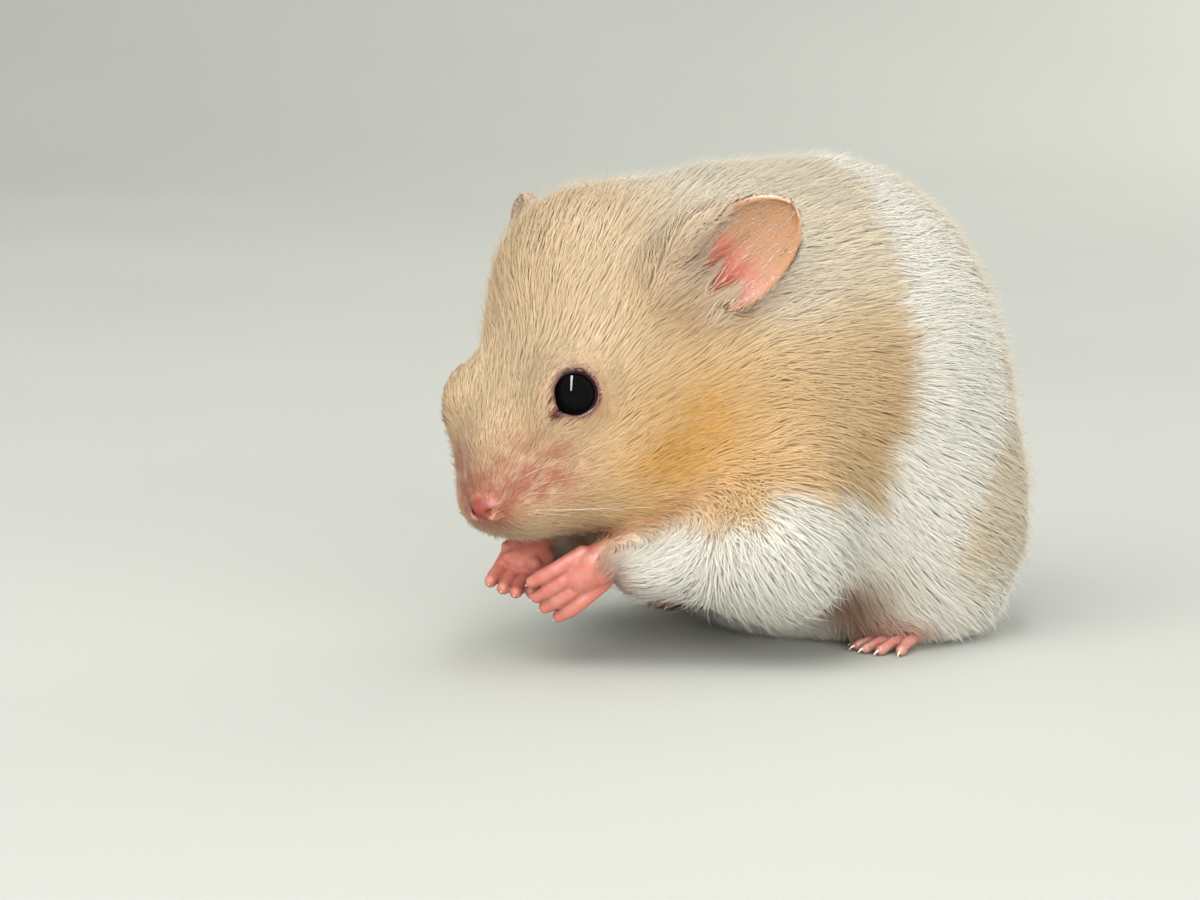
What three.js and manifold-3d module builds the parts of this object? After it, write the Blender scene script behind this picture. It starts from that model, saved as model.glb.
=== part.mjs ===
// A Syrian hamster sitting hunched on its haunches, head lowered, both forepaws held up under the
// muzzle: a still, life-size model. Millimetres, +Z up. It faces -Y, and +X is its left side. The
// origin is the middle of its bounding box on the floor. Every solid reaches out to the tips of
// the coat, and the skin lies inside.
//
// The body is a soft blend of ellipsoids and round cones. Each part is that blend wrapped with a
// ball of triangles, and then parted from its neighbours with thin cuts.
import * as THREE from 'three';
import { mergeVertices } from 'three/addons/utils/BufferGeometryUtils.js';
import Module from 'manifold-3d';

// ---- Driving dimensions, in mm and degrees ----
const TRUNK_WIDTH = 51;
const TRUNK_LENGTH = 53;
const TRUNK_HEIGHT = 57;
const HEAD_LENGTH = 40; // nose tip to the back of the skull
const HEAD_WIDTH = 30; // across the cheek pouches
const HEAD_YAW = 11; // turned to its left
const HEAD_PITCH = 25; // nose down
const HEAD_ROLL = 6; // left side up
const EYE_DIAMETER = 6.2;
const EAR_LENGTH = 16.5;
const EAR_WIDTH = 11.5;
const EAR_THICKNESS = 0.9;
const PAW_LENGTH = 8.8;
const FOOT_LENGTH = 17;
const TAIL_LENGTH = 8.5;
const GAP = 0.3; // left between neighbouring solids

const deg = THREE.MathUtils.degToRad;
const V = (x, y, z) => new THREE.Vector3(x, y, z);
const mirrored = (p, side) => V(p.x * side, p.y, p.z);

const wasm = await Module();
wasm.setup();

// ---- Soft shapes: each is a function of a point, negative inside ----

function ellipsoid(centre, radii) {
  return (p) => {
    const x = (p.x - centre.x) / radii.x;
    const y = (p.y - centre.y) / radii.y;
    const z = (p.z - centre.z) / radii.z;
    const near = Math.hypot(x, y, z);
    const slope = Math.hypot(x / radii.x, y / radii.y, z / radii.z);
    return slope < 1e-9 ? -Math.min(radii.x, radii.y, radii.z) : (near * (near - 1)) / slope;
  };
}

// A cone with round ends, from one ball to another.
function roundCone(from, fromRadius, to, toRadius) {
  const axis = to.clone().sub(from);
  const lengthSq = axis.lengthSq();
  return (p) => {
    const t = THREE.MathUtils.clamp(
      ((p.x - from.x) * axis.x + (p.y - from.y) * axis.y + (p.z - from.z) * axis.z) / lengthSq, 0, 1);
    const d = Math.hypot(p.x - from.x - t * axis.x, p.y - from.y - t * axis.y, p.z - from.z - t * axis.z);
    return d - THREE.MathUtils.lerp(fromRadius, toRadius, t);
  };
}

// Joins shapes with a soft fillet of about the given size.
function blend(size, ...shapes) {
  return (p) => shapes.reduce((joined, shape) => {
    const d = shape(p);
    const h = Math.max(size - Math.abs(joined - d), 0) / size;
    return Math.min(joined, d) - (h * h * size) / 4;
  }, 1e3);
}

// ---- From soft shapes to solids ----

function toSolid(geometry) {
  const bare = geometry.clone();
  bare.deleteAttribute('normal');
  bare.deleteAttribute('uv');
  const merged = mergeVertices(bare, 1e-3);
  return new wasm.Manifold(new wasm.Mesh({
    numProp: 3,
    vertProperties: new Float32Array(merged.attributes.position.array),
    triVerts: new Uint32Array(merged.index.array),
  }));
}

// A ball of triangles round the centre, each corner moved out along its ray until it leaves the shape.
function wrap(shape, centre, detail, grow = 0) {
  const ball = new THREE.IcosahedronGeometry(1, detail);
  const place = ball.attributes.position;
  const ray = new THREE.Vector3();
  const p = new THREE.Vector3();
  const found = new Map();
  for (let i = 0; i < place.count; i++) {
    ray.fromBufferAttribute(place, i).normalize();
    const key = `${ray.x.toFixed(5)} ${ray.y.toFixed(5)} ${ray.z.toFixed(5)}`;
    if (!found.has(key)) {
      let inside = 0;
      let step = 0.2;
      let t = 0;
      for (;;) {
        const d = shape(p.copy(centre).addScaledVector(ray, t)) - grow;
        if (d > 0) break;
        inside = t;
        step = Math.max(-d * 0.6, 0.08);
        t += step;
      }
      let outside = t;
      for (let k = 0; k < 22; k++) {
        t = (inside + outside) / 2;
        if (shape(p.copy(centre).addScaledVector(ray, t)) - grow > 0) outside = t;
        else inside = t;
      }
      found.set(key, p.copy(centre).addScaledVector(ray, t).clone());
    }
    const q = found.get(key);
    place.setXYZ(i, q.x, q.y, q.z);
  }
  return toSolid(ball);
}

// A closed tube through the points, with a radius at each, rounded at both ends.
function tube(points, radii, sides, rings) {
  const curve = new THREE.CatmullRomCurve3(points, false, 'centripetal');
  const FINE = 60;
  const frames = curve.computeFrenetFrames(FINE, false);
  const radiusAt = (t) => {
    const at = t * (radii.length - 1);
    const i = Math.min(Math.floor(at), radii.length - 2);
    return THREE.MathUtils.lerp(radii[i], radii[i + 1], at - i);
  };
  const shapeOf = (t) => {
    const end = Math.min(t, 1 - t) * 4;
    return end >= 1 ? 1 : Math.sqrt(1 - (1 - end) ** 2);
  };
  const corners = [];
  for (let i = 1; i < rings; i++) {
    const t = (1 - Math.cos((i / rings) * Math.PI)) / 2; // closer together towards the ends
    const middle = curve.getPointAt(t);
    const k = Math.round(t * FINE);
    for (let j = 0; j < sides; j++) {
      const angle = (j / sides) * Math.PI * 2;
      const radius = radiusAt(t) * shapeOf(t);
      corners.push(middle.clone()
        .addScaledVector(frames.normals[k], Math.cos(angle) * radius)
        .addScaledVector(frames.binormals[k], Math.sin(angle) * radius));
    }
  }
  const first = corners.push(curve.getPointAt(0)) - 1;
  const last = corners.push(curve.getPointAt(1)) - 1;
  const faces = [];
  for (let j = 0; j < sides; j++) {
    const k = (j + 1) % sides;
    faces.push(first, k, j);
    for (let i = 0; i < rings - 2; i++) {
      const a = i * sides;
      const b = a + sides;
      faces.push(a + j, a + k, b + k, a + j, b + k, b + j);
    }
    const end = (rings - 2) * sides;
    faces.push(end + j, end + k, last);
  }
  const geometry = new THREE.BufferGeometry().setFromPoints(corners);
  geometry.setIndex(faces);
  const solid = toSolid(geometry);
  return solid.volume() < 0 ? toSolid(geometry.setIndex(faces.reverse())) : solid;
}

const union = (solids) => solids.reduce((all, one) => all.add(one));

// The largest piece of a cut solid, so that no sliver stays behind.
const largest = (solid) => solid.decompose().reduce((a, b) => (b.volume() > a.volume() ? b : a));

const box = (low, high) => toSolid(
  new THREE.BoxGeometry(high.x - low.x, high.y - low.y, high.z - low.z)
    .translate((low.x + high.x) / 2, (low.y + high.y) / 2, (low.z + high.z) / 2));

const aboveFloor = box(V(-90, -90, 0), V(90, 90, 120));

// ---- Trunk ----

const half = { x: TRUNK_WIDTH / 2, y: TRUNK_LENGTH / 2, z: TRUNK_HEIGHT / 2 };
const barrel = ellipsoid(V(0, -1, half.z - 1), V(half.x - 1, half.y - 2.5, half.z + 0.5));
const rump = ellipsoid(V(0, 5.5, 18), V(half.x - 2.5, 16, 21.5));
const shoulders = ellipsoid(V(-1, -13, 31), V(20, 16, 23));
const belly = ellipsoid(V(0, 2.5, 11), V(20, 18, 13));
const thigh = (side) => ellipsoid(V(15.5 * side, 3.5, 12.5), V(9.5, 13.5, 14));
const trunkShape = blend(6, barrel, rump, shoulders, belly, thigh(1), thigh(-1));

// ---- Head, in its own frame: x to its left, y back from the nose tip, z up through the crown ----

const NOSE_AT = V(0.8, -52.6, 19.7);
const headTurn = new THREE.Matrix4()
  .makeRotationFromEuler(new THREE.Euler(deg(HEAD_PITCH), -deg(HEAD_ROLL), deg(HEAD_YAW), 'ZXY'))
  .setPosition(NOSE_AT);
const headTurnBack = headTurn.clone().invert();
const onHead = (x, y, z) => V(x, y, z).applyMatrix4(headTurn);

const headScale = HEAD_LENGTH / 40;
const cheek = HEAD_WIDTH / 2;
function headParts() {
  const k = headScale;
  const pair = (make) => [make(1), make(-1)];
  return blend(3.2,
    ellipsoid(V(0, 25, 4), V(cheek - 1.5, 14 * k, 11.5)), // skull
    ellipsoid(V(-1, 30, 9.5), V(12.3, 12, 12.8)), // crown
    roundCone(V(0, 5.2, -1.6), 4.4, V(0, 16, 1), 9), // snout
    ellipsoid(V(0, 13, 3.4), V(6.2, 9.5, 6)), // bridge
    ...pair((s) => ellipsoid(V(7.2 * s, 20, -3.6), V(cheek - 7.2, 12.5, 9.8))), // cheek pouches
    ...pair((s) => ellipsoid(V(5.4 * s, 14, 5), V(4.8, 5.8, 5.4))), // brows
    ...pair((s) => ellipsoid(V(5.2 * s, 12, -1.5), V(4.8, 6.4, 5.6))), // cheekbones
    ...pair((s) => ellipsoid(V(3.4 * s, 6.2, -2.9), V(3.8, 4.6, 3.2))), // whisker pads
    ellipsoid(V(0, 11, -7.4), V(5.4, 7, 3.8)), // chin
  );
}
const headLocal = headParts();
const spot = new THREE.Vector3();
const headAlone = (p) => headLocal(spot.copy(p).applyMatrix4(headTurnBack));
const nape = ellipsoid(V(-3, -18, 41), V(14, 13, 13));
const bodyShape = blend(7, trunkShape, nape, headAlone);

// ---- Eyes ----

const EYE_AT = { x: 7.35, y: 13.1, z: 6.2 }; // on the head, the middle of the ball
const eyeCentre = (side) => onHead(EYE_AT.x * side, EYE_AT.y, EYE_AT.z);
const eyeBall = (side, grow = 0) => toSolid(
  new THREE.SphereGeometry(EYE_DIAMETER / 2 + grow, 12, 8).applyMatrix4(
    new THREE.Matrix4().makeTranslation(eyeCentre(side))));

// ---- Ears: thin cups, each a flattened ring swept from root to tip ----

const EAR = {
  left: { root: [12.6, 29.8, 9.2], tip: [24.8, 38.2, 15.2], opening: [0.75, -0.65, 0.05] },
  right: { root: [-9.5, 29.5, 6.5], tip: [-13, 36, 20.5], opening: [-0.55, -0.8, 0.2] },
};
const EAR_SIDES = 12;
const EAR_RINGS = 7;
function ear({ root, tip, opening }) {
  const start = onHead(...root);
  const along = onHead(...tip).sub(start).setLength(EAR_LENGTH);
  const up = along.clone().normalize();
  const face = onHead(...opening).sub(NOSE_AT);
  face.addScaledVector(up, -face.dot(up)).normalize();
  const across = new THREE.Vector3().crossVectors(up, face);
  const halfWidth = (s) => {
    const widest = 0.52;
    const share = s < widest
      ? THREE.MathUtils.lerp(0.45, 1, Math.sin((s / widest) * (Math.PI / 2)))
      : Math.sqrt(Math.max(0, 1 - ((s - widest) / (1 - widest)) ** 2.2));
    return (EAR_WIDTH / 2) * share;
  };
  const cup = (s) => THREE.MathUtils.lerp(3.8, 1.2, s);
  const corners = [];
  for (let i = 0; i < EAR_RINGS; i++) {
    const s = 1 - (1 - i / EAR_RINGS) ** 1.6;
    for (let j = 0; j < EAR_SIDES; j++) {
      const angle = (j / EAR_SIDES) * Math.PI * 2;
      const t = Math.cos(angle);
      const w = halfWidth(s);
      const slope = Math.atan2(2 * cup(s) * t, w);
      const off = (EAR_THICKNESS / 2) * Math.sin(angle);
      corners.push(start.clone()
        .addScaledVector(along, s)
        .addScaledVector(across, w * t - off * Math.sin(slope))
        .addScaledVector(face, cup(s) * t * t - 1.2 * Math.sin(s * 2.2) + off * Math.cos(slope)));
    }
  }
  const foot = corners.push(start.clone()) - 1;
  const top = corners.push(start.clone().add(along).addScaledVector(face, -1.2 * Math.sin(2.2))) - 1;
  const faces = [];
  for (let j = 0; j < EAR_SIDES; j++) {
    const k = (j + 1) % EAR_SIDES;
    faces.push(foot, k, j);
    for (let i = 0; i < EAR_RINGS - 1; i++) {
      const a = i * EAR_SIDES;
      const b = a + EAR_SIDES;
      faces.push(a + j, a + k, b + k, a + j, b + k, b + j);
    }
    const end = (EAR_RINGS - 1) * EAR_SIDES;
    faces.push(end + j, end + k, top);
  }
  const geometry = new THREE.BufferGeometry().setFromPoints(corners);
  geometry.setIndex(faces);
  const solid = toSolid(geometry);
  return solid.volume() < 0 ? toSolid(geometry.setIndex(faces.reverse())) : solid;
}

// ---- Forelegs and forepaws ----

const ARM = {
  left: { shoulder: V(12.5, -15, 23), elbow: V(15.5, -21, 13.5),
    cuff: V(8, -35.6, 11.8), wrist: V(6.9, -38.1, 13.1) },
  right: { shoulder: V(-12.5, -15, 23), elbow: V(-15.5, -22, 14),
    cuff: V(-7.8, -36.4, 12.8), wrist: V(-7, -37.6, 13.2) },
};
const armShape = ({ shoulder, elbow, cuff }) => blend(5,
  roundCone(shoulder, 9.5, elbow, 8.4),
  roundCone(elbow, 8.4, cuff, 4));

const HAND = {
  left: { reach: V(-0.47, -0.66, -0.57), stack: V(-0.43, -0.7, 0.55), curl: 0.5 },
  right: { reach: V(0.4, -0.72, -0.57), stack: V(0.77, 0.61, -0.19), curl: 0.4 },
};
const FINGERS = [
  { place: -1.5, length: 0.84, spread: -0.16 },
  { place: -0.5, length: 1, spread: -0.02 },
  { place: 0.5, length: 1, spread: 0.03 },
  { place: 1.5, length: 0.86, spread: 0.06 },
];
const FINGER_RADIUS = 0.7;
function forepaw(wrist, { reach, stack, curl }) {
  const ahead = reach.clone().normalize();
  const row = stack.clone().addScaledVector(ahead, -stack.dot(ahead)).normalize();
  const palmward = new THREE.Vector3().crossVectors(ahead, row);
  const at = (a, r, p) => wrist.clone()
    .addScaledVector(ahead, a).addScaledVector(row, r).addScaledVector(palmward, p);
  const palmLength = PAW_LENGTH * 0.5;
  const palm = tube([at(-2.6, 0, 0), at(palmLength * 0.4, 0, 0.1), at(palmLength * 1.15, 0, 0.3)],
    [2.1, 2.8, 2.3], 8, 6);
  const fingers = FINGERS.map(({ place, length, spread }) => {
    const long = PAW_LENGTH * 0.56 * length;
    const side = place * FINGER_RADIUS * 2.02;
    return tube([
      at(palmLength * 0.55, side * 0.85, 0),
      at(palmLength + long * 0.35, side + spread * long * 0.4, -0.1),
      at(palmLength + long * 0.75, side + spread * long * 0.8, curl * long * 0.14),
      at(palmLength + long, side + spread * long, curl * long * 0.42),
    ], [0.78, 0.82, 0.8, 0.66], 6, 4);
  });
  return union([palm, ...fingers]);
}

// ---- Hind feet ----

const HEEL = V(17.5, 7.5, 2.4);
const TOE_ROOT = V(18.2, -3.6, 2);
const TOES = [
  { place: -2.1, reach: 3.2, spread: -1.4 },
  { place: -1.1, reach: 4.9, spread: -0.7 },
  { place: 0, reach: 5.4, spread: 0 },
  { place: 1.1, reach: 4.9, spread: 0.8 },
  { place: 2.1, reach: 3.4, spread: 1.6 },
];
function hindfoot(side) {
  const k = FOOT_LENGTH / 17;
  const sole = tube([mirrored(HEEL, side), mirrored(V(17.9, 2, 2.3), side), mirrored(TOE_ROOT, side)],
    [2.2, 2.6, 2.5], 8, 6);
  const toes = TOES.map(({ place, reach, spread }) => tube([
    mirrored(V(TOE_ROOT.x + place, TOE_ROOT.y + 1.2, 1.4), side),
    mirrored(V(TOE_ROOT.x + place + spread * 0.6, TOE_ROOT.y - reach * 0.55 * k, 1), side),
    mirrored(V(TOE_ROOT.x + place + spread, TOE_ROOT.y - reach * k, 0.5), side),
  ], [0.75, 0.85, 0.75], 6, 4));
  return union([sole, ...toes]).intersect(aboveFloor);
}

// ---- Tail ----

const TAIL_ROOT = V(0, 18.5, 6.5);
const tail = tube([
  TAIL_ROOT,
  V(0.3, TAIL_ROOT.y + TAIL_LENGTH * 0.55, TAIL_ROOT.z - 2.4),
  V(0.9, TAIL_ROOT.y + TAIL_LENGTH, TAIL_ROOT.z - 4.2),
], [2.4, 2, 0.8], 10, 7);

// ---- Nose pad ----

const nosePad = (grow) => toSolid(new THREE.SphereGeometry(1, 12, 8).applyMatrix4(
  new THREE.Matrix4().compose(
    onHead(0, 1.9, -1.4),
    new THREE.Quaternion().setFromRotationMatrix(headTurn),
    V(2.2, 1.7, 1.7).addScalar(grow))));

// ---- Parting the body ----

const TRUNK_MIDDLE = V(0, -1, 27);
const SKULL_MIDDLE = onHead(0, 21, 1.5);
const NECK_Y = onHead(0, 36, 6).y; // the cut behind the skull
const NECK_LENGTH = 7;
const NECK_FLOOR = 22; // below this the chest is part of the trunk
const THROAT = -12.5; // the cut under the jaw, on the head
const BIG = 200;
const local = new THREE.Vector3();

// The head's share of space, negative inside, shrunk by the inset.
function headSpace(p, inset) {
  local.copy(p).applyMatrix4(headTurnBack);
  return Math.max(p.y - NECK_Y + inset, THROAT + inset - local.z);
}
const headBlock = (grow) => box(V(-BIG, -BIG, -BIG), V(BIG, NECK_Y + grow, BIG)).intersect(
  toSolid(new THREE.BoxGeometry(2 * BIG, 2 * BIG, BIG)
    .translate(0, 0, BIG / 2 + THROAT - grow).applyMatrix4(headTurn)));
const neckBlock = (grow) => box(
  V(-BIG, -BIG, NECK_FLOOR - grow), V(BIG, NECK_Y + NECK_LENGTH + grow, BIG));
const thighBlock = (side, grow) => toSolid(new THREE.SphereGeometry(1, 16, 10).applyMatrix4(
  new THREE.Matrix4().compose(V(22 * side, 3.5, 11), new THREE.Quaternion(),
    V(11, 14.5, 16).addScalar(grow))));

const LOOSE = 5; // each wrap runs on past its cut by this much
const head = (grow) => wrap(
  (p) => Math.max(bodyShape(p), headSpace(p, -LOOSE)), SKULL_MIDDLE, 9, grow)
  .intersect(headBlock(grow));
const body = (grow) => wrap(
  (p) => Math.max(bodyShape(p), -headSpace(p, LOOSE)), TRUNK_MIDDLE, 8, grow)
  .intersect(aboveFloor);
const arm = (name, grow) => wrap(armShape(ARM[name]), ARM[name].elbow, 4, grow);

const sides = { left: 1, right: -1 };
const names = Object.keys(sides);
const armsGrown = union(names.map((name) => arm(name, GAP)));
const headGrown = head(GAP);
const bodyGrown = body(GAP);
const coreGrown = union([headGrown, bodyGrown, armsGrown]);
const thighsGrown = union(names.map((name) => thighBlock(sides[name], GAP)));
const eyesGrown = union(names.map((name) => eyeBall(sides[name], GAP)));

const bodyCut = body(0).subtract(headBlock(GAP)).subtract(armsGrown);
const parts = {
  head: head(0).subtract(eyesGrown).subtract(nosePad(GAP)),
  nose: nosePad(0),
  neck: bodyCut.intersect(neckBlock(0)),
  trunk: bodyCut.subtract(neckBlock(GAP)).subtract(thighsGrown),
  tail: tail.subtract(bodyGrown),
};
for (const name of names) {
  const side = sides[name];
  parts[`eye_${name}`] = eyeBall(side);
  parts[`ear_${name}`] = ear(EAR[name]).subtract(coreGrown);
  parts[`foreleg_${name}`] = arm(name, 0).subtract(headGrown);
  parts[`forepaw_${name}`] = forepaw(ARM[name].wrist, HAND[name]).subtract(coreGrown);
  parts[`thigh_${name}`] = bodyCut.subtract(neckBlock(GAP)).intersect(thighBlock(side, 0));
  parts[`hindfoot_${name}`] = hindfoot(side).subtract(bodyGrown);
}

// ---- Finish and nodes ----

const FINISH = {
  coat_cream: { color: 0xe2c197, roughness: 0.9 },
  coat_tan: { color: 0xcfae84, roughness: 0.9 },
  coat_white: { color: 0xefe9dd, roughness: 0.9 },
  skin_pink: { color: 0xe0968a, roughness: 0.55 },
  eye_black: { color: 0x0a0809, roughness: 0.06 },
};
const COAT = {
  head: 'coat_cream', neck: 'coat_tan', trunk: 'coat_tan', nose: 'skin_pink', tail: 'skin_pink',
  thigh: 'coat_white', foreleg: 'coat_white', forepaw: 'skin_pink', hindfoot: 'skin_pink',
  ear: 'skin_pink', eye: 'eye_black',
};
const finishes = Object.fromEntries(Object.entries(FINISH).map(([name, { color, roughness }]) => {
  const material = new THREE.MeshStandardMaterial({ color, roughness, metalness: 0 });
  material.name = name;
  return [name, material];
}));

const animal = new THREE.Group();
animal.name = 'hamster';
for (const [name, part] of Object.entries(parts)) {
  const mesh = largest(part).getMesh();
  const geometry = new THREE.BufferGeometry();
  geometry.setAttribute('position', new THREE.BufferAttribute(mesh.vertProperties, 3));
  geometry.setIndex(new THREE.BufferAttribute(mesh.triVerts, 1));
  const flat = geometry.toNonIndexed();
  flat.computeVertexNormals();
  const node = new THREE.Mesh(flat, finishes[COAT[name.split('_')[0]]].clone());
  node.name = name;
  animal.add(node);
}

// The origin goes to the middle of the bounding box, on the floor.
const bounds = new THREE.Box3().setFromObject(animal);
const middle = bounds.getCenter(new THREE.Vector3());
for (const node of animal.children) node.geometry.translate(-middle.x, -middle.y, 0);

export default animal;
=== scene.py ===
import itertools
import math

import bpy
import numpy as np
import openvdb as vdb
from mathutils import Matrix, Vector
from mathutils.bvhtree import BVHTree


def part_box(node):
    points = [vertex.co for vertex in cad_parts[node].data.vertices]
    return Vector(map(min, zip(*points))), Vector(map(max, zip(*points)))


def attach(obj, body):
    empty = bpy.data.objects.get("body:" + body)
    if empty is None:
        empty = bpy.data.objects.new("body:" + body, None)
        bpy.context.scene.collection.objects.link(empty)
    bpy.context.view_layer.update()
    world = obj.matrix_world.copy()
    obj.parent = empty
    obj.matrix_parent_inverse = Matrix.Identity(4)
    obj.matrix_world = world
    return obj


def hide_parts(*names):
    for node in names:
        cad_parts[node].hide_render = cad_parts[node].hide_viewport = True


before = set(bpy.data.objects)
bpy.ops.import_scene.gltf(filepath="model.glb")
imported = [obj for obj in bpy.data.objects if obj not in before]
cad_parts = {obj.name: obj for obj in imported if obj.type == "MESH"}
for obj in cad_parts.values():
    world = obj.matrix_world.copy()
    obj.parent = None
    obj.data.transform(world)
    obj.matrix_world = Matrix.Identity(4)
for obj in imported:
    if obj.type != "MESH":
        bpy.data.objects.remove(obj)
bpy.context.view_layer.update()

# A Syrian hamster that sits up and holds its paws together, life size. Everything below works in
# millimetres in the frame of the solids: +X is the animal's left, it faces -Y, and the floor is z = 0.
MM = 0.001

# --- Driving sizes, in millimetres -------------------------------------------------------------
COARSE = 0.5                # grid step of the body's form
FINE = COARSE / 2           # grid step of the finished skin
SKIN_ADAPT = 0.03           # how far flat parts of the finished skin are thinned
FORM_SMOOTH = 0.8           # how far the facets of the solids are blurred
GAP_CLOSE = 0.5             # the solids are swollen by this to close the gaps between them
CREASE_FILL = 5.0           # folds between the limbs and the flank narrower than twice this are filled
THROAT = (1.0, 6.0, -13.0)  # in the head's frame: where chin and paws meet, and no fold is filled
CHIN_HOLLOW = (0.5, 3.0, -13.2), (9.0, 7.0, 4.8)

EYE_SETBACK, EYE_RISE = 11.2, 7.6       # from the nose pad's middle back and up to the eyes
NOSE_MIDDLE = (0, 1.9, -1.4)            # in the head's own frame, whose origin is the nose tip
NOSE_SIZE = (2.05, 1.6, 1.4)
EYE_RADIUS = 3.1
EYE_OPENING = 2.35          # radius of the ring of the lids

BODY_COAT, CROWN_COAT, FACE_COAT = 1.85, 1.5, 0.42    # the coat's depth
ARM_COAT, FOOT_COAT, THIN_COAT, FRINGE_COAT, TAIL_COAT = 1.5, 0.6, 0.35, 1.2, 0.25

SIDES = {1: "left", -1: "right"}        # the sign of a side's x, and its name
CORE = ("head", "nose", "neck", "trunk", "tail", "foreleg_left", "foreleg_right", "thigh_left", "thigh_right")
FLESH = CORE + ("ear_left", "ear_right", "forepaw_left", "forepaw_right", "hindfoot_left", "hindfoot_right")
FORM = CORE + ("eye_left", "eye_right")


# --- Small helpers --------------------------------------------------------------------------------
def length_of(v):
    return np.linalg.norm(v, axis=-1)


def unit(v):
    v = np.asarray(v, float)
    return v / np.maximum(np.linalg.norm(v, axis=-1, keepdims=True), 1e-9)


def across_slope(v, normal):
    """The part of each vector that lies across a unit direction."""
    return v - normal * np.sum(v * normal, axis=1)[:, None]


def mix(a, b, t):
    return a + (b - a) * t


def ramp(value, start, end):
    """0 before start, 1 after end, and a smooth rise between."""
    t = np.clip((value - start) / (end - start), 0, 1)
    return t * t * (3 - 2 * t)


def bell(distance, width):
    return np.exp(-((distance / width) ** 2))


def smooth_min(a, b, blend):
    h = np.maximum(blend - np.abs(a - b), 0) / blend
    return np.minimum(a, b) - h * h * blend / 4


def smooth_max(a, b, blend):
    return -smooth_min(-a, -b, blend)


def box_mm(node):
    low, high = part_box(node)
    return np.array(low) / MM, np.array(high) / MM


def centre(node):
    low, high = box_mm(node)
    return (low + high) / 2


# --- The head's own frame: x to its left, y back from the nose tip, z towards the crown -----------
def head_axes():
    left, right, nose = centre("eye_left"), centre("eye_right"), centre("nose")
    across = unit(left - right)
    ahead = nose - (left + right) / 2
    ahead = unit(ahead - across * ahead.dot(across))
    slope = math.atan2(EYE_RISE, EYE_SETBACK)
    below = np.cross(across, ahead)
    back = -math.cos(slope) * ahead + math.sin(slope) * below
    crown = -math.sin(slope) * ahead - math.cos(slope) * below
    axes = np.stack([across, back, crown])
    return centre("nose") - np.array(NOSE_MIDDLE) @ axes, axes


HEAD_ORIGIN, HEAD_AXES = head_axes()


def to_head(points):
    return (np.asarray(points, float) - HEAD_ORIGIN) @ HEAD_AXES.T


def from_head(points):
    return np.asarray(points, float) @ HEAD_AXES + HEAD_ORIGIN


def turn_from_head(vectors):
    return np.asarray(vectors, float) @ HEAD_AXES


def mirrored(point, side):
    return np.asarray(point, float) * np.array([side, 1, 1])


def folded_left(points):
    """The same places with the right half laid over the left."""
    return np.abs(points) * (1, 0, 0) + points * (0, 1, 1)


# --- Signed distances on a grid -------------------------------------------------------------------
FAR_OFF = 1000                  # beyond every grid, in millimetres


class Field:
    """Values on a grid whose points are whole multiples of its step: below 0 inside a form."""

    def __init__(self, first, step, values):
        self.first = np.asarray(first, int)
        self.step = step
        self.values = values

    def at(self, points):
        """The value at each point, by straight lines between the grid's points."""
        size = np.array(self.values.shape)
        place = np.asarray(points, np.float64) / self.step - self.first
        place = np.clip(place, 0, size - 1.001)
        cell = place.astype(np.int64)
        part = place - cell
        shares = np.stack([(1 - part).T, part.T])
        flat = self.values.ravel()
        row = (cell[:, 0] * size[1] + cell[:, 1]) * size[2] + cell[:, 2]
        total = np.zeros(len(place))
        for i, j, k in itertools.product((0, 1), repeat=3):
            weight = shares[i, 0] * shares[j, 1] * shares[k, 2]
            total += weight * flat[row + (i * size[1] + j) * size[2] + k]
        return total

    def slope(self, points, reach=None):
        """The unit direction in which the value grows."""
        reach = reach or self.step
        points = np.asarray(points, float)
        found = np.empty(points.shape)
        for axis in range(3):
            shift = np.zeros(3)
            shift[axis] = reach
            found[:, axis] = self.at(points + shift) - self.at(points - shift)
        return unit(found)

    def onto(self, points, height=0.0):
        """The points moved along the slope until they lie at that value."""
        points = np.asarray(points, float)
        for _ in range(4):
            points = points - self.slope(points) * (self.at(points) - height)[:, None]
        return points

    def places(self):
        """The place of every point of the grid."""
        return self.window(np.full(3, -FAR_OFF), np.full(3, FAR_OFF))[1]

    def window(self, low, high):
        """The part of the grid in a box: its values, as a view, and their places."""
        low = np.floor(np.asarray(low) / self.step).astype(int) - self.first
        high = np.ceil(np.asarray(high) / self.step).astype(int) - self.first + 1
        low = np.maximum(low, 0)
        high = np.minimum(high, self.values.shape)
        part = self.values[low[0]:high[0], low[1]:high[1], low[2]:high[2]]
        axes = [(np.arange(low[a], high[a]) + self.first[a]) * self.step for a in range(3)]
        places = np.stack(np.meshgrid(*axes, indexing="ij"), -1)
        return part, places

    def join(self, shape, blend):
        part, places = self.window(shape.low - 2 - blend, shape.high + 2 + blend)
        part[...] = smooth_min(part, shape(places), blend)

    def cut(self, shape, blend):
        part, places = self.window(shape.low - 1 - blend, shape.high + 1 + blend)
        part[...] = smooth_max(part, -shape(places), blend)


def level_set(points, faces, step, reach, pad=2.0):
    """The signed distance round closed meshes."""
    kind = "triangles" if faces.shape[1] == 3 else "quads"
    spacing = vdb.createLinearTransform(voxelSize=step)
    grid = vdb.FloatGrid.createLevelSetFromPolygons(
        np.ascontiguousarray(points, np.float32), transform=spacing, halfWidth=reach / step,
        **{kind: np.ascontiguousarray(faces, np.uint32)})
    first = np.floor((points.min(0) - pad) / step).astype(int)
    last = np.ceil((points.max(0) + pad) / step).astype(int)
    values = np.zeros(last - first + 1, np.float32)
    grid.copyToArray(values, ijk=tuple(int(i) for i in first))
    return Field(first, step, values)


def as_grid(field):
    grid = vdb.FloatGrid(4 * field.step)
    grid.copyFromArray(np.ascontiguousarray(field.values), ijk=tuple(int(i) for i in field.first))
    grid.transform = vdb.createLinearTransform(voxelSize=field.step)
    return grid


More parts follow.
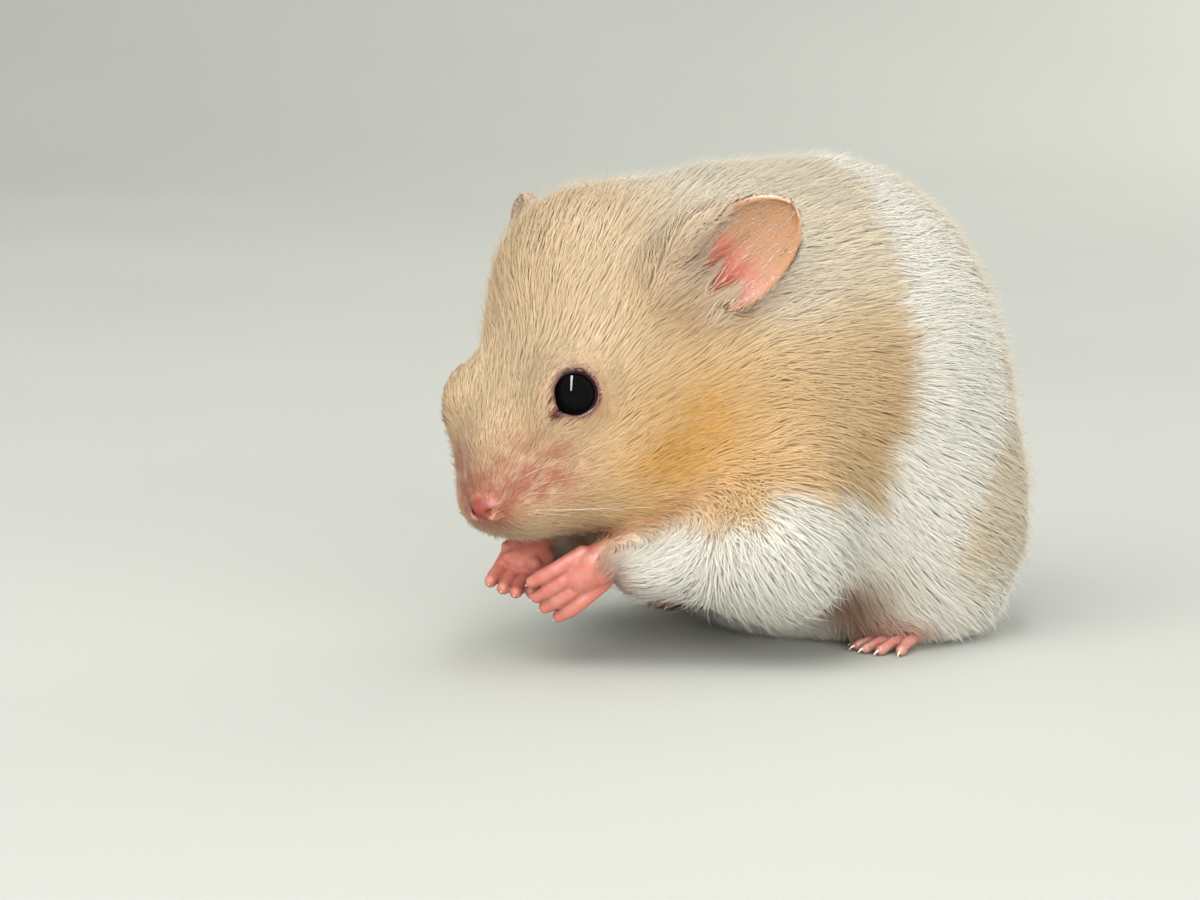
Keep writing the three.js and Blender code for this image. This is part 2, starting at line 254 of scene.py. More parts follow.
def surface(field):
    """The closed mesh of quads where a field is 0."""
    points, quads = as_grid(field).convertToQuads(isovalue=0.0)
    return points, quads[:, ::-1].copy()


def in_triangles(quads):
    return np.concatenate([quads[:, (0, 1, 2)], quads[:, (0, 2, 3)]])


def light_surface(field, share):
    """The same mesh in triangles, with fewer of them where it is flat."""
    points, triangles, quads = as_grid(field).convertToPolygons(isovalue=0.0, adaptivity=share)
    triangles = np.concatenate([triangles, in_triangles(quads)])
    return points, triangles[:, ::-1].copy()


def blur(values, sigma):
    """A Gaussian blur of that many grid steps."""
    reach = max(1, math.ceil(2.5 * sigma))
    weights = np.exp(-0.5 * (np.arange(-reach, reach + 1) / sigma) ** 2)
    weights /= weights.sum()
    for axis in range(3):
        edges = [(reach, reach) if a == axis else (0, 0) for a in range(3)]
        padded = np.pad(values, edges, mode="edge")
        total = np.zeros_like(values)
        for i, weight in enumerate(weights):
            take = [slice(None)] * 3
            take[axis] = slice(i, i + values.shape[axis])
            total += np.float32(weight) * padded[tuple(take)]
        values = total
    return values


def halve_step(field):
    """The same field on a grid of half the step."""
    values = field.values
    for axis in range(3):
        values = np.moveaxis(values, axis, 0)
        finer = np.empty((2 * len(values) - 1, *values.shape[1:]), np.float32)
        finer[::2] = values
        finer[1::2] = (values[1:] + values[:-1]) / 2
        values = np.moveaxis(finer, 0, axis)
    return Field(field.first * 2, field.step / 2, np.ascontiguousarray(values))


def solid_mesh(*nodes):
    """The points, in millimetres, and the triangles of CAD nodes."""
    all_points, all_faces, start = [], [], 0
    for node in nodes:
        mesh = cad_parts[node].data
        mesh.calc_loop_triangles()
        points = np.empty(len(mesh.vertices) * 3, np.float32)
        mesh.vertices.foreach_get("co", points)
        faces = np.empty(len(mesh.loop_triangles) * 3, np.int32)
        mesh.loop_triangles.foreach_get("vertices", faces)
        all_points.append(points.reshape(-1, 3) / MM)
        all_faces.append(faces.reshape(-1, 3) + start)
        start += len(mesh.vertices)
    return np.concatenate(all_points), np.concatenate(all_faces)


# --- Shapes, as functions of places, each with its own box ----------------------------------------
def ellipsoid(middle, radii, axes=None):
    """Close to the distance from an ellipsoid, whose axes are the rows of a matrix."""
    radii = np.asarray(radii, float)

    def shape(places):
        local = places - np.asarray(middle)
        if axes is not None:
            local = local @ np.asarray(axes).T
        inner = length_of(local / radii)
        outer = length_of(local / radii ** 2)
        return inner * (inner - 1) / np.maximum(outer, 1e-6)

    shape.low, shape.high = np.asarray(middle) - radii.max(), np.asarray(middle) + radii.max()
    return shape


def chain(points, radii, blend=0.0):
    """The distance from a string of round cones."""
    points = [np.asarray(p, float) for p in points]

    def shape(places):
        found = None
        for a, b, ra, rb in zip(points, points[1:], radii, radii[1:]):
            along = b - a
            t = np.clip((places - a) @ along / along.dot(along), 0, 1)
            one = length_of(places - a - t[..., None] * along) - mix(ra, rb, t)
            if found is None:
                found = one
            elif blend:
                found = smooth_min(found, one, blend)
            else:
                found = np.minimum(found, one)
        return found

    shape.low, shape.high = np.min(points, axis=0) - max(radii), np.max(points, axis=0) + max(radii)
    return shape


# --- Which part of the body a point is near -------------------------------------------------------
REGIONS = {
    "head": ("head", "nose"), "neck": ("neck",), "trunk": ("trunk",), "tail": ("tail",),
    "arm_left": ("foreleg_left",), "arm_right": ("foreleg_right",),
    "thigh_left": ("thigh_left",), "thigh_right": ("thigh_right",),
    "ear_left": ("ear_left",), "ear_right": ("ear_right",),
    "paw_left": ("forepaw_left",), "paw_right": ("forepaw_right",),
    "foot_left": ("hindfoot_left",), "foot_right": ("hindfoot_right",),
}
near = {name: level_set(*solid_mesh(*nodes), 1.0, 12.0, pad=12.0) for name, nodes in REGIONS.items()}


def how_near(name, points, start, end):
    """1 within start of a region, 0 beyond end."""
    return 1 - ramp(near[name].at(points), start, end)


def head_share(points, start, end):
    """1 on the head and 0 on the rest, with a smooth change where they meet."""
    rest = np.min([near[name].at(points) for name in ("neck", "trunk", "arm_left", "arm_right")], axis=0)
    return ramp(rest - near["head"].at(points), start, end)


def ripple(points, size, seed):
    """Smooth noise from -1 to 1 whose waves are about twice that size."""
    points = np.asarray(points, float)
    count = np.array([80, 100, 80]) // max(1, int(size)) + 4
    lattice = np.random.default_rng(seed).uniform(-1, 1, count)
    return Field(-(count // 2), size, lattice).at(points) * 1.4


def clump(points, size, seed):
    """The nearest of a scattered lattice of centres to each point, and that centre's own number."""
    rng = np.random.default_rng(seed)
    count = (np.array([70, 100, 80]) / size).astype(int) + 6
    jitter = rng.uniform(0, 1, (*count, 4))
    cell = np.floor(points / size).astype(int)
    best = np.full(len(points), 1e9)
    middle, number = np.zeros_like(points), np.zeros(len(points))
    for step in itertools.product((-1, 0, 1), repeat=3):
        other = cell + step
        index = np.clip(other + count // 2, 0, count - 1)
        one = jitter[index[:, 0], index[:, 1], index[:, 2]]
        place = (other + one[:, :3]) * size
        distance = np.sum((place - points) ** 2, axis=1)
        closer = distance < best
        best = np.where(closer, distance, best)
        middle = np.where(closer[:, None], place, middle)
        number = np.where(closer, one[:, 3], number)
    return middle, number


# --- The body's form ------------------------------------------------------------------------------
EYES = {side: centre(f"eye_{name}") for side, name in SIDES.items()}
EYE_AXES = {1: (0.80, -0.50, 0.33), -1: (-0.87, -0.37, 0.33)}    # the way each eye looks, in the head's frame
EYE_WAY = {side: turn_from_head(unit(way)) for side, way in EYE_AXES.items()}


def coat_depth(points):
    """How far the coat stands off the skin."""
    head = to_head(points)
    muzzle = ramp(head[:, 1], 1, 22)
    depth = mix(BODY_COAT, mix(FACE_COAT, CROWN_COAT, muzzle), head_share(points, -3, 3))
    for name in SIDES.values():
        wrist = length_of(points - centre(f"forepaw_{name}"))
        arm = how_near(f"arm_{name}", points, 0, 3) * (1 - ramp(wrist, 14, 22))
        depth = mix(depth, mix(THIN_COAT, ARM_COAT, ramp(wrist, 4.5, 11)), arm)
        depth = mix(depth, FOOT_COAT, how_near(f"foot_{name}", points, 0.5, 3))
    for side in SIDES:
        depth = mix(depth, THIN_COAT, on_ear(points, side, 0.1, 0.3))
        depth = mix(depth, FRINGE_COAT, ear_fringe(points, side))
        depth = np.minimum(depth, mix(THIN_COAT, 3.0, ramp(length_of(points - EYES[side]), 3.3, 9.5)))
    depth = mix(depth, TAIL_COAT, how_near("tail", points, 0, 2))
    return depth * mix(0.35, 1, ramp(points[:, 2], 0, 7))


def body_form():
    """The outer form of the coat, from the solids, smooth and with the gaps closed."""
    points, faces = solid_mesh(*FORM)
    swollen = level_set(points, faces, COARSE, 3.0)
    swollen.values -= GAP_CLOSE
    points, quads = surface(swollen)
    form = level_set(points, quads, COARSE, 8.0, pad=6.0)
    form.values += np.float32(GAP_CLOSE)
    fill_creases(form)
    hollow, size = CHIN_HOLLOW
    form.cut(ellipsoid(from_head(hollow), size, HEAD_AXES), 3.0)
    for side in SIDES:
        form.join(ellipsoid(from_head(EARS[side]["mound"]), (3.5, 4.2, 4.4), HEAD_AXES), 4.0)
        socket = EYES[side] + turn_from_head(mirrored((-0.5, -2.4, -1.0), side))
        form.join(ellipsoid(socket, (2.3, 2.6, 4.6), HEAD_AXES), 3.0)
    form.values = blur(form.values, FORM_SMOOTH / COARSE)
    return form


def fill_creases(form):
    """Fills the folds of arm, flank and thigh, which long fur bridges, and leaves the chin clear."""
    points, quads = surface(Field(form.first, form.step, form.values - np.float32(CREASE_FILL)))
    filled = level_set(points, quads, COARSE, 12.0, pad=2.0)
    shift = form.first - filled.first
    size = form.values.shape
    take = tuple(slice(max(0, shift[a]), shift[a] + size[a]) for a in range(3))
    values = np.full(size, 12.0, np.float32)
    part = filled.values[take] + np.float32(CREASE_FILL)
    start = np.maximum(0, -shift)
    values[tuple(slice(start[a], start[a] + part.shape[a]) for a in range(3))] = part
    close = (values < form.values) & (np.abs(form.values) < 7)
    at = form.places()[close]
    share = ramp(at[:, 2], 2.0, 7.0) * ramp(length_of(at - from_head(THROAT)), 7.0, 14.0)
    for side in SIDES:
        share *= ramp(length_of(at - EYES[side]), 4.0, 8.0)
    form.values[close] = mix(form.values[close], values[close], share)


def skin_base(form):
    """The skin under the coat, before its fine parts."""
    depth = np.full(form.values.shape, BODY_COAT, np.float32)
    close = np.abs(form.values) < 7
    depth[close] = coat_depth(form.places()[close])
    return Field(form.first, form.step, form.values + blur(depth, 1.0))


# --- Paws and feet --------------------------------------------------------------------------------
PALM, FINGER = 4.4, 4.93
PAWS = {
    1: dict(wrist=(7.5, 9.06, -12.36), curl=0.5,
            reach=(-0.613, -0.747, -0.218), stack=(-0.474, -0.316, 0.808)),
    -1: dict(wrist=(-6.1, 11.95, -12.17), curl=0.4,
             reach=(0.234, -0.951, -0.211), stack=(0.83, 0.329, -0.452)),
}
# Each finger's row, share of the length, and spread.
FINGERS = ((-1.5, 0.86, -0.04), (-0.5, 1.0, 0.0), (0.5, 1.02, 0.0), (1.5, 0.9, 0.04))
FINGER_PITCH = 1.55
FINGER_RADII = (0.92, 0.86, 0.88, 0.66)


def paw_points(side):
    """The palm's points and each finger's, in the frame of the solids."""
    paw = PAWS[side]
    ahead = unit(paw["reach"])
    row = np.asarray(paw["stack"], float)
    row = unit(row - ahead * row.dot(ahead))
    palmward = np.cross(ahead, row)

    def at(a, r, p):
        return from_head(np.asarray(paw["wrist"]) + ahead * a + row * r + palmward * p)

    palm = [at(-3.4, 0, 0), at(0, 0, 0), at(1.9, 0, 0.1), at(3.9, 0, 0.25)]
    fingers = []
    for place, share, spread in FINGERS:
        long, step = FINGER * share, place * FINGER_PITCH
        fingers.append([
            at(PALM * 0.5, step * 0.9, 0),
            at(PALM + long * 0.3, step + spread * long * 0.4, -0.15),
            at(PALM + long * 0.68, step + spread * long * 0.8, paw["curl"] * long * 0.16),
            at(PALM + long * 0.98, step + spread * long, paw["curl"] * long * 0.46)])
    pads = [at(4.6, r, 1.1) for r in (-1.5, 0, 1.5)] + [at(1.2, r, 1.3) for r in (-1.0, 1.1)]
    thumb = [at(1.8, -1.9, 0.3), at(2.9, -2.6, 1.0)]
    return palm, fingers, pads, thumb


def from_fingers(points, side):
    """The distance from the middle lines of a forepaw's fingers."""
    _, fingers, _, thumb = paw_points(side)
    distance = np.full(len(points), 99.0)
    close = length_of(points - fingers[1][1]) < 10
    for line in fingers + [thumb]:
        for (a, b), share in itertools.product(zip(line, line[1:]), (0, 0.33, 0.67, 1)):
            away = length_of(points[close] - mix(a, b, share))
            distance[close] = np.minimum(distance[close], away)
    return distance


def between_fingers(points, fingers):
    """1 in the creases between neighbouring fingers."""
    places = []
    for one, other in zip(fingers, fingers[1:]):
        middle = (np.array(one) + np.array(other)) / 2
        places += [mix(a, b, t) for a, b in zip(middle, middle[1:]) for t in np.linspace(0, 1, 8)]
    return bell(np.min([length_of(points - place) for place in places], axis=0), 0.62)


def add_forepaw(skin, side):
    palm, fingers, pads, thumb = paw_points(side)
    skin.join(chain(palm, (2.0, 1.9, 2.25, 2.0), 0.8), 1.4)
    for finger in fingers:
        skin.join(chain(finger, FINGER_RADII), 0.15)
        skin.join(ellipsoid(mix(finger[-1], finger[-2], 0.1), (0.72, 0.72, 0.72)), 0.2)
    for pad in pads:
        skin.join(ellipsoid(pad, (0.8, 0.8, 0.8)), 0.4)
    skin.join(chain(thumb, (0.8, 0.5)), 0.5)


# Each toe's place, reach and spread.
TOES = ((-2.1, 3.2, -1.4), (-1.1, 4.9, -0.7), (0, 5.4, 0), (1.1, 4.9, 0.8), (2.1, 3.4, 1.6))


def foot_points(side):
    """The sole's points and each toe's, out from under the flank."""
    low, high = box_mm(f"hindfoot_{SIDES[side]}")
    outer = high[0] if side > 0 else -low[0]
    root = np.array([outer - 4.0, low[1] + 5.4, 1.5])
    sole = [root + (-0.7, 11.0, 0.7), root + (-0.3, 5.6, 0.5), root]
    toes = [[root + (place, 0, -0.1), root + (place + spread * 0.5, -reach * 0.55, -0.35),
             root + (place + spread, -reach, -0.85)] for place, reach, spread in TOES]
    return [mirrored(p, side) for p in sole], [[mirrored(p, side) for p in toe] for toe in toes]


def add_hindfoot(skin, side):
    sole, toes = foot_points(side)
    skin.join(chain(sole, (1.7, 1.6, 1.45), 0.5), 1.0)
    for toe in toes:
        skin.join(chain(toe, (0.7, 0.68, 0.58)), 0.3)
        skin.join(ellipsoid(mix(toe[2], toe[1], 0.15), (0.62, 0.7, 0.55)), 0.2)


# --- Eyes, nose and mouth -------------------------------------------------------------------------
TEAR_REACH = (2.2, 3.7)         # the fold at the eye's inner corner, out from the eye's middle
TEAR_LINE = ((2.35, 2.2), (2.1, 2.7), (1.8, 3.3))       # rise towards the eye's way, and reach


def eye_frame(side):
    """The way the eye looks, towards its inner corner, and across."""
    way = EYE_WAY[side]
    corner = turn_from_head(np.array([0.1 * side, -1.0, -0.1]))
    corner = unit(corner - way * corner.dot(way))
    return way, corner, np.cross(way, corner)


def off_eye(points, side):
    """How far points lie off the way an eye looks, and from the fold at its inner corner."""
    way, corner, across = eye_frame(side)
    out = points - EYES[side]
    ahead, aside, rise = out @ corner, out @ across, out @ way
    far = 20.0 * ((rise < 0) | (rise > 5))
    fold = np.hypot(ahead - np.clip(ahead, *TEAR_REACH), aside)
    return np.hypot(ahead, aside) + far, fold + far


def lid_line(side, reach, lift, count=40):
    """A closed line on the eyeball round its opening, drawn out at the inner corner."""
    way, corner, across = eye_frame(side)
    points = []
    for i in range(count + 1):
        turn = 2 * math.pi * i / count
        off_corner = min(turn, 2 * math.pi - turn)
        tilt = math.asin(reach / EYE_RADIUS) + 0.3 * math.exp(-(off_corner / 0.32) ** 2)
        spoke = math.cos(turn) * corner + math.sin(turn) * across
        points.append(EYES[side] + (EYE_RADIUS + lift) * (math.cos(tilt) * way + math.sin(tilt) * spoke))
    return points


def tear_line(side):
    """Points on the skin from the opening's inner corner along the fold that draws it out."""
    way, corner, _ = eye_frame(side)
    return [EYES[side] + way * rise + corner * reach for rise, reach in TEAR_LINE]


def add_lids(skin, side):
    eye = EYES[side]
    bulge = lid_line(side, EYE_OPENING + 0.3, 0.1)
    skin.join(chain(bulge, [0.36] * len(bulge)), 0.9)
    way = EYE_WAY[side]
    skin.cut(chain((eye + way * 2.0, eye + way * 5.5), (EYE_OPENING - 0.15, EYE_OPENING + 0.9)), 0.4)
    skin.cut(ellipsoid(eye, [EYE_RADIUS + 0.02] * 3), 0.05)
    skin.cut(chain(skin.onto(tear_line(side)), (0.6, 0.45, 0.15)), 0.2)


def add_nose(skin):
    nose = from_head(NOSE_MIDDLE)
    skin.join(ellipsoid(nose, NOSE_SIZE, HEAD_AXES), 0.35)
    for side in SIDES:
        wing = from_head(mirrored((1.3, 1.7, -1.9), side))
        skin.join(ellipsoid(wing, (0.95, 1.3, 0.95), HEAD_AXES), 0.4)
        nostril = [(0.72, 0.35, -1.75), (1.15, 0.75, -1.45), (1.75, 1.45, -1.35), (2.2, 2.2, -1.6)]
        nostril = [from_head(mirrored(p, side)) for p in nostril]
        skin.cut(chain(nostril, (0.3, 0.34, 0.22, 0.1)), 0.25)
    groove = [from_head((0, y, z)) for y, z in ((0.2, -1.2), (0.5, -2.6), (1.6, -4.0), (2.8, -5.4))]
    skin.cut(chain(skin.onto(groove), (0.05, 0.16, 0.2, 0.2)), 0.25)


def add_mouth(skin):
    for side in SIDES:
        line = [(0, 2.9, -5.6), (1.7, 4.3, -6.4), (3.4, 6.8, -6.8), (4.6, 9.4, -6.7)]
        line = skin.onto([from_head(mirrored(p, side)) for p in line])
        skin.cut(chain(line, (0.22, 0.26, 0.24, 0.08)), 0.35)


# --- Ears -----------------------------------------------------------------------------------------
# The ears: root, tip, the way the opening faces and the mound they rise from, in the head's frame;
# then how strongly their inner skin is marked tan and pale, how strongly painted shade darkens it, and how
# bald it is.
EARS = {
    1: dict(root=(12.6, 29.8, 9.2), tip=(24.8, 38.2, 15.2), opening=(0.75, -0.65, 0.05),
            mound=(12.6, 28.4, 11.0), tan=0.95, pale=0.0, dusk=0.6, bald=1),
    -1: dict(root=(-9.5, 29.5, 5.2), tip=(-13, 37, 18.8), opening=(-0.4, -0.88, 0.2),
             mound=(-8.2, 27.4, 7.6), tan=0.2, pale=0.6, dusk=0.1, bald=0.45),
}
# Where pale hair sweeps over an ear: which edge, and from where to where along it.
EAR_FRINGES = {1: ((-1, -0.25, 0.5), (1, -0.2, 0.1)), -1: ((1, -0.25, 0.6), (-1, -0.2, 0.3))}
EAR_LENGTH, EAR_WIDTH, EAR_THICKNESS = 16.5, 11.5, 0.62
EAR_WIDEST = 0.46           # where the ear is widest, as a share of its length
EAR_SUNK = -0.12            # where the ear starts, under the coat, as a share of its length


def ear_frame(side):
    ear = EARS[side]
    along = np.subtract(ear["tip"], ear["root"])
    up = unit(along)
    face = np.asarray(ear["opening"], float)
    face = unit(face - up * face.dot(up))
    across = np.cross(up, face)
    turned = [turn_from_head(way) for way in (up * EAR_LENGTH, across, face)]
    return from_head(ear["root"]), *turned


def ear_half_width(s):
    lower = mix(0.45, 1, np.sin(np.clip(s / EAR_WIDEST, 0, 1) * math.pi / 2))
    upper = np.sqrt(np.maximum(1 - (np.maximum(s - EAR_WIDEST, 0) / (1 - EAR_WIDEST)) ** 1.9, 0))
    return EAR_WIDTH / 2 * lower * upper


def ear_cup(s):
    """How far the ear's edges stand ahead of its middle."""
    return mix(3.4, 1.3, s) * ramp(s, -0.2, 0.4)


def ear_bow(s):
    """How far the ear's middle bows back along its length."""
    return 1.2 * np.sin(2.2 * s)


def ear_relief(s, t):
    """Height of the ear's inner surface over its plain cup: a rolled rim and two low folds."""
    rim = 0.5 * bell(np.abs(t) - 0.93, 0.12) * ramp(s, 0.05, 0.3)
    fold = 0.75 * bell(t - 0.42 + 0.35 * s, 0.13) * bell(s - 0.3, 0.26)
    second = 0.5 * bell(t + 0.38 - 0.2 * s, 0.12) * bell(s - 0.42, 0.22)
    return rim + fold + second


def ear_point(side, s, t, height):
    """A point of an ear: s from root to tip, t from -1 to 1 across, height off the middle sheet."""
    start, along, across, face = ear_frame(side)
    w = ear_half_width(s)
    cup = ear_cup(s)
    slope = np.arctan2(2 * cup * t, np.maximum(w, 0.5))
    sideways = w * t - height * np.sin(slope)
    forward = cup * t ** 2 - ear_bow(s) + height * np.cos(slope)
    return start + along * s[..., None] + across * sideways[..., None] + face * forward[..., None]


def ear_places(points, side):
    """Where points lie on an ear: share of its length, share of its half width, and height off its sheet."""
    start, along, across, face = ear_frame(side)
    out = points - start
    s = out @ along / along.dot(along)
    w = np.maximum(ear_half_width(np.clip(s, 0, 0.999)), 0.5)
    t = out @ across / w
    height = out @ face - (ear_cup(s) * t ** 2 - ear_bow(s))
    return s, t, height


def on_ear(points, side, start, end):
    """1 on an ear's sheet beyond end of its length, 0 off the ear or before start."""
    s, t, height = ear_places(points, side)
    flat = (1 - ramp(np.abs(height), 1.0, 2.0)) * (1 - ramp(np.abs(t), 1.1, 1.4))
    return flat * ramp(s, start, end) * (s < 1.1)


def ear_fringe(points, side):
    """1 along the ear's front edge and at its foot, where long pale hair sweeps up over it."""
    close = length_of(points - from_head(EARS[side]["root"])) < 24
    distance = np.full(len(points), 99.0)
    for edge, start, end in EAR_FRINGES[side]:
        for s in np.linspace(start, end, 12):
            place = ear_point(side, np.array(s), edge, 0.0)
            distance[close] = np.minimum(distance[close], length_of(points[close] - place))
    return bell(distance, 1.9)


def ear_mesh(side, lengths=72, turns=96):
    """A closed sheet: out along its inner face, over the rim and back along its outer face."""
    s = (1 - np.cos(np.linspace(0, 1, lengths) * math.pi * 0.995)) / 2
    s = mix(EAR_SUNK, 1, s)[:, None] * np.ones((1, turns))
    angle = np.linspace(0, 2 * math.pi, turns, endpoint=False)[None, :] * np.ones((lengths, 1))
    t = np.cos(angle)
    inner = np.sin(angle) > 0
    thick = EAR_THICKNESS / 2 * mix(1.9, 1, ramp(s, 0, 0.35))
    height = thick * np.sin(angle) / np.maximum(np.abs(np.sin(angle)), 0.45)
    height = np.where(inner, height + ear_relief(s, t) * np.abs(np.sin(angle)), height)
    points = ear_point(side, s, t, height).reshape(-1, 3)
    ring = np.arange(turns)
    faces = []
    for i in range(lengths - 1):
        a, b = i * turns + ring, i * turns + (ring + 1) % turns
        faces.append(np.stack([a, b, b + turns, a + turns], 1))
    half = turns // 2
    for start in (0, (lengths - 1) * turns):
        k = np.arange(half - 1)
        strip = [start + k + 1, start + (turns - k - 1) % turns, start + (turns - k) % turns, start + k]
        strip = np.stack(strip, 1)
        faces.append(strip if start == 0 else strip[:, ::-1])
    return points, np.concatenate(faces)


def add_ear(skin, side):
    points, quads = ear_mesh(side)
    ear = level_set(points, in_triangles(quads), FINE, 2.0, pad=2.0)
    shift = ear.first - skin.first
    take = tuple(slice(shift[a], shift[a] + ear.values.shape[a]) for a in range(3))
    skin.values[take] = smooth_min(skin.values[take], ear.values, 0.5)
    edge, start, end = EAR_FRINGES[side][0]
    ridge = [ear_point(side, np.array(s), edge * 1.0, -0.9) for s in np.linspace(start, end * 0.8, 9)]
    skin.join(chain(ridge, np.linspace(1.7, 0.45, 9)), 3.0)


def make_skin():
    skin = halve_step(skin_base(body_form()))
    skin.values = blur(skin.values, 0.8)
    add_nose(skin)
    add_mouth(skin)
    for side in SIDES:
        add_forepaw(skin, side)
        add_hindfoot(skin, side)
        add_ear(skin, side)
        add_lids(skin, side)
    return skin


# --- The markings, shared by the skin and the coat ------------------------------------------------
BAND_FRONT = ((11, 1.5), (18, 3.1), (24, 3.8), (32, 5.7), (42, 6.7), (50, 7.4), (56, 10.5))     # height, y
BAND_REAR = ((11, 11.6), (19, 15.9), (26, 21.5), (36, 24.6), (45, 19.5), (55, 14.5))            # height, y
BELLY_LINE = ((-26, 15.5), (-19, 17.2), (-15, 17.8), (-11, 19.6),
              (-3, 19.2), (3, 18.1), (12, 11.0), (38, 4.5))                                     # y, height
CHEEK_SPOT, CHEEK_SIZE = (15.6, 19.8, -5.2), (12.0, 10.5, 8.0)
WHISKER_PAD, WHISKER_PAD_SIZE = (5.2, 4.6, 0.9), (6.4, 5.6, 4.4)
BY_FOOT = (17.5, 1.5, 4.0)          # in the frame of the solids: the shadow under the thigh
UNDER_JAW = (4.5, 10.0, -11.5)      # in the head's frame: the warm shadow between jaw and wrist
INNER_ARM = (3.4, 18.0, -15.5)      # in the head's frame: the shadow inside the forearm
MARKS = ("white", "gold", "tan", "pale", "rump", "flush", "dusk", "rim")


def band_and_rump(points, rough):
    """The white of the band and the belly, and the rump behind the band, with rough edges."""
    y, z = points[:, 1], points[:, 2]
    front = np.interp(z, *zip(*BAND_FRONT)) + rough
    back = np.interp(z, *zip(*BAND_REAR)) + rough * 1.6
    belly = np.interp(y, *zip(*BELLY_LINE)) + rough * mix(1.3, 3.0, ramp(y, 12, 30))
    band = ramp(y - front, -1.2, 1.2) * ramp(back - y, -2.6, 2.6)
    return np.maximum(band, ramp(belly - z, -1.8, 1.8)), ramp(y - back, -2, 4)


def tan_and_pale(points, head, is_head, wave):
    """The tan of the shoulders, and the pale hair behind the ears and along the back."""
    y, z = points[:, 1], points[:, 2]
    ahead_of_band = ramp(y, -16, 2) * (1 - is_head * 0.9)
    tan = ahead_of_band * (0.12 + 0.88 * bell(z - 27, 12)) * (1 + 0.25 * wave)
    behind_ear = np.maximum(how_near("ear_left", points, 1, 9), how_near("ear_right", points, 1, 9))
    behind_ear *= np.maximum(ramp(head[:, 2], 9, 13), ramp(head[:, 1], 32, 38))
    return tan, 0.9 * behind_ear * ramp(y, -24, -12) + ramp(z, 35, 45) * ramp(y, -22, -8)


def pink_shows(points, head, is_head, rough):
    """Where skin shows pink through thin hair: nose, whisker pads, wrists, ears, feet and eyes."""
    nose = length_of(head - NOSE_MIDDLE)
    pad = length_of((folded_left(head) - WHISKER_PAD) / WHISKER_PAD_SIZE)
    flush = 0.75 * (1 - ramp(nose, 1.8, 4.8)) + 0.78 * bell(pad, 1.0) * rough
    for side, name in SIDES.items():
        wrist = length_of(points - centre(f"forepaw_{name}"))
        from_eye = length_of(points - EYES[side] - EYE_WAY[side] * 2.0)
        flush = np.maximum(flush, 0.6 * (1 - ramp(wrist, 4.5, 8.5)) * (1 - is_head))
        flush = np.maximum(flush, 0.25 * how_near(f"ear_{name}", points, 0.5, 4))
        flush = np.maximum(flush, 0.7 * how_near(f"foot_{name}", points, 0.5, 3.5))
        flush = np.maximum(flush, 0.3 * (1 - ramp(from_eye, 2.6, 6.0)))
    return flush


def round_eyes(points):
    """The dark skin round the eyes and along the folds at their inner corners."""
    rim = np.zeros(len(points))
    for side in SIDES:
        off_axis, fold = off_eye(points, side)
        rim = np.maximum(rim, 0.8 * (1 - ramp(off_axis, 2.75, 3.3)))
        rim = np.maximum(rim, 0.95 * (1 - ramp(fold, 0.3, 0.95)))
    return rim


def shadows(points, head, is_head):
    """The warm shadows: along the jaw, from throat to thigh, and at the thigh alone."""
    jaw = ramp(-head[:, 2], 6.5, 10.5) * is_head * ramp(head[:, 1], 3, 8) * (1 - ramp(head[:, 1], 15, 24))
    throat = ramp(-points[:, 1], 13, 20) * ramp(points[:, 2], 7, 13) * (1 - is_head)
    for name in SIDES.values():
        throat *= 1 - how_near(f"arm_{name}", points, 0, 2)
    folded = folded_left(head)
    under_jaw = np.maximum(bell(length_of(folded - UNDER_JAW), 5.0), bell(length_of(folded - INNER_ARM), 6.5))
    under_jaw *= 1 - ramp(folded[:, 0], 6.0, 8.5) * ramp(-head[:, 2], 9.5, 11.5)
    by_foot = bell(length_of(folded_left(points) - BY_FOOT), 5.5)
    return jaw, np.clip(throat + 0.9 * under_jaw + by_foot, 0, 1), by_foot


def markings(points):
    """The share of each of the coat's marks at each point, by name."""
    head = to_head(points)
    is_head = head_share(points, -2.5, 2.5)
    wave, fine, curl = ripple(points, 4.0, 11), ripple(points, 1.6, 12), ripple(points, 0.7, 14)
    white, rump = band_and_rump(points, wave * 0.9 + fine * 0.6)
    white = white * (1 - is_head)
    spot = (folded_left(head) - CHEEK_SPOT) / CHEEK_SIZE
    gold = np.exp(-np.sum(spot ** 2, axis=1) * 0.9) * (1 + 0.18 * wave)
    tan, pale = tan_and_pale(points, head, is_head, wave)
    flush = pink_shows(points, head, is_head, 1 + 0.4 * fine + 0.6 * curl)
    jaw, throat, by_foot = shadows(points, head, is_head)
    # The dark rim mark is the skin round the eyes, and is also painted as shadow under the thigh.
    rim = np.maximum(round_eyes(points), 0.8 * by_foot ** 1.5)
    fringe = np.maximum(ear_fringe(points, 1), ear_fringe(points, -1))
    white = white * (1 - 0.9 * throat)
    # The warm brown mark is painted shade: along the jaw, from the throat to the thigh and inside the
    # forearms.
    found = dict(white=white, gold=gold * (1 - white), tan=tan * (1 - fringe), rump=rump, rim=rim,
                 pale=np.maximum(pale, 0.95 * fringe), flush=flush * (1 - 0.7 * fringe),
                 dusk=0.8 * jaw + 0.8 * throat)
    return {name: np.clip(found[name], 0, 1) for name in MARKS}


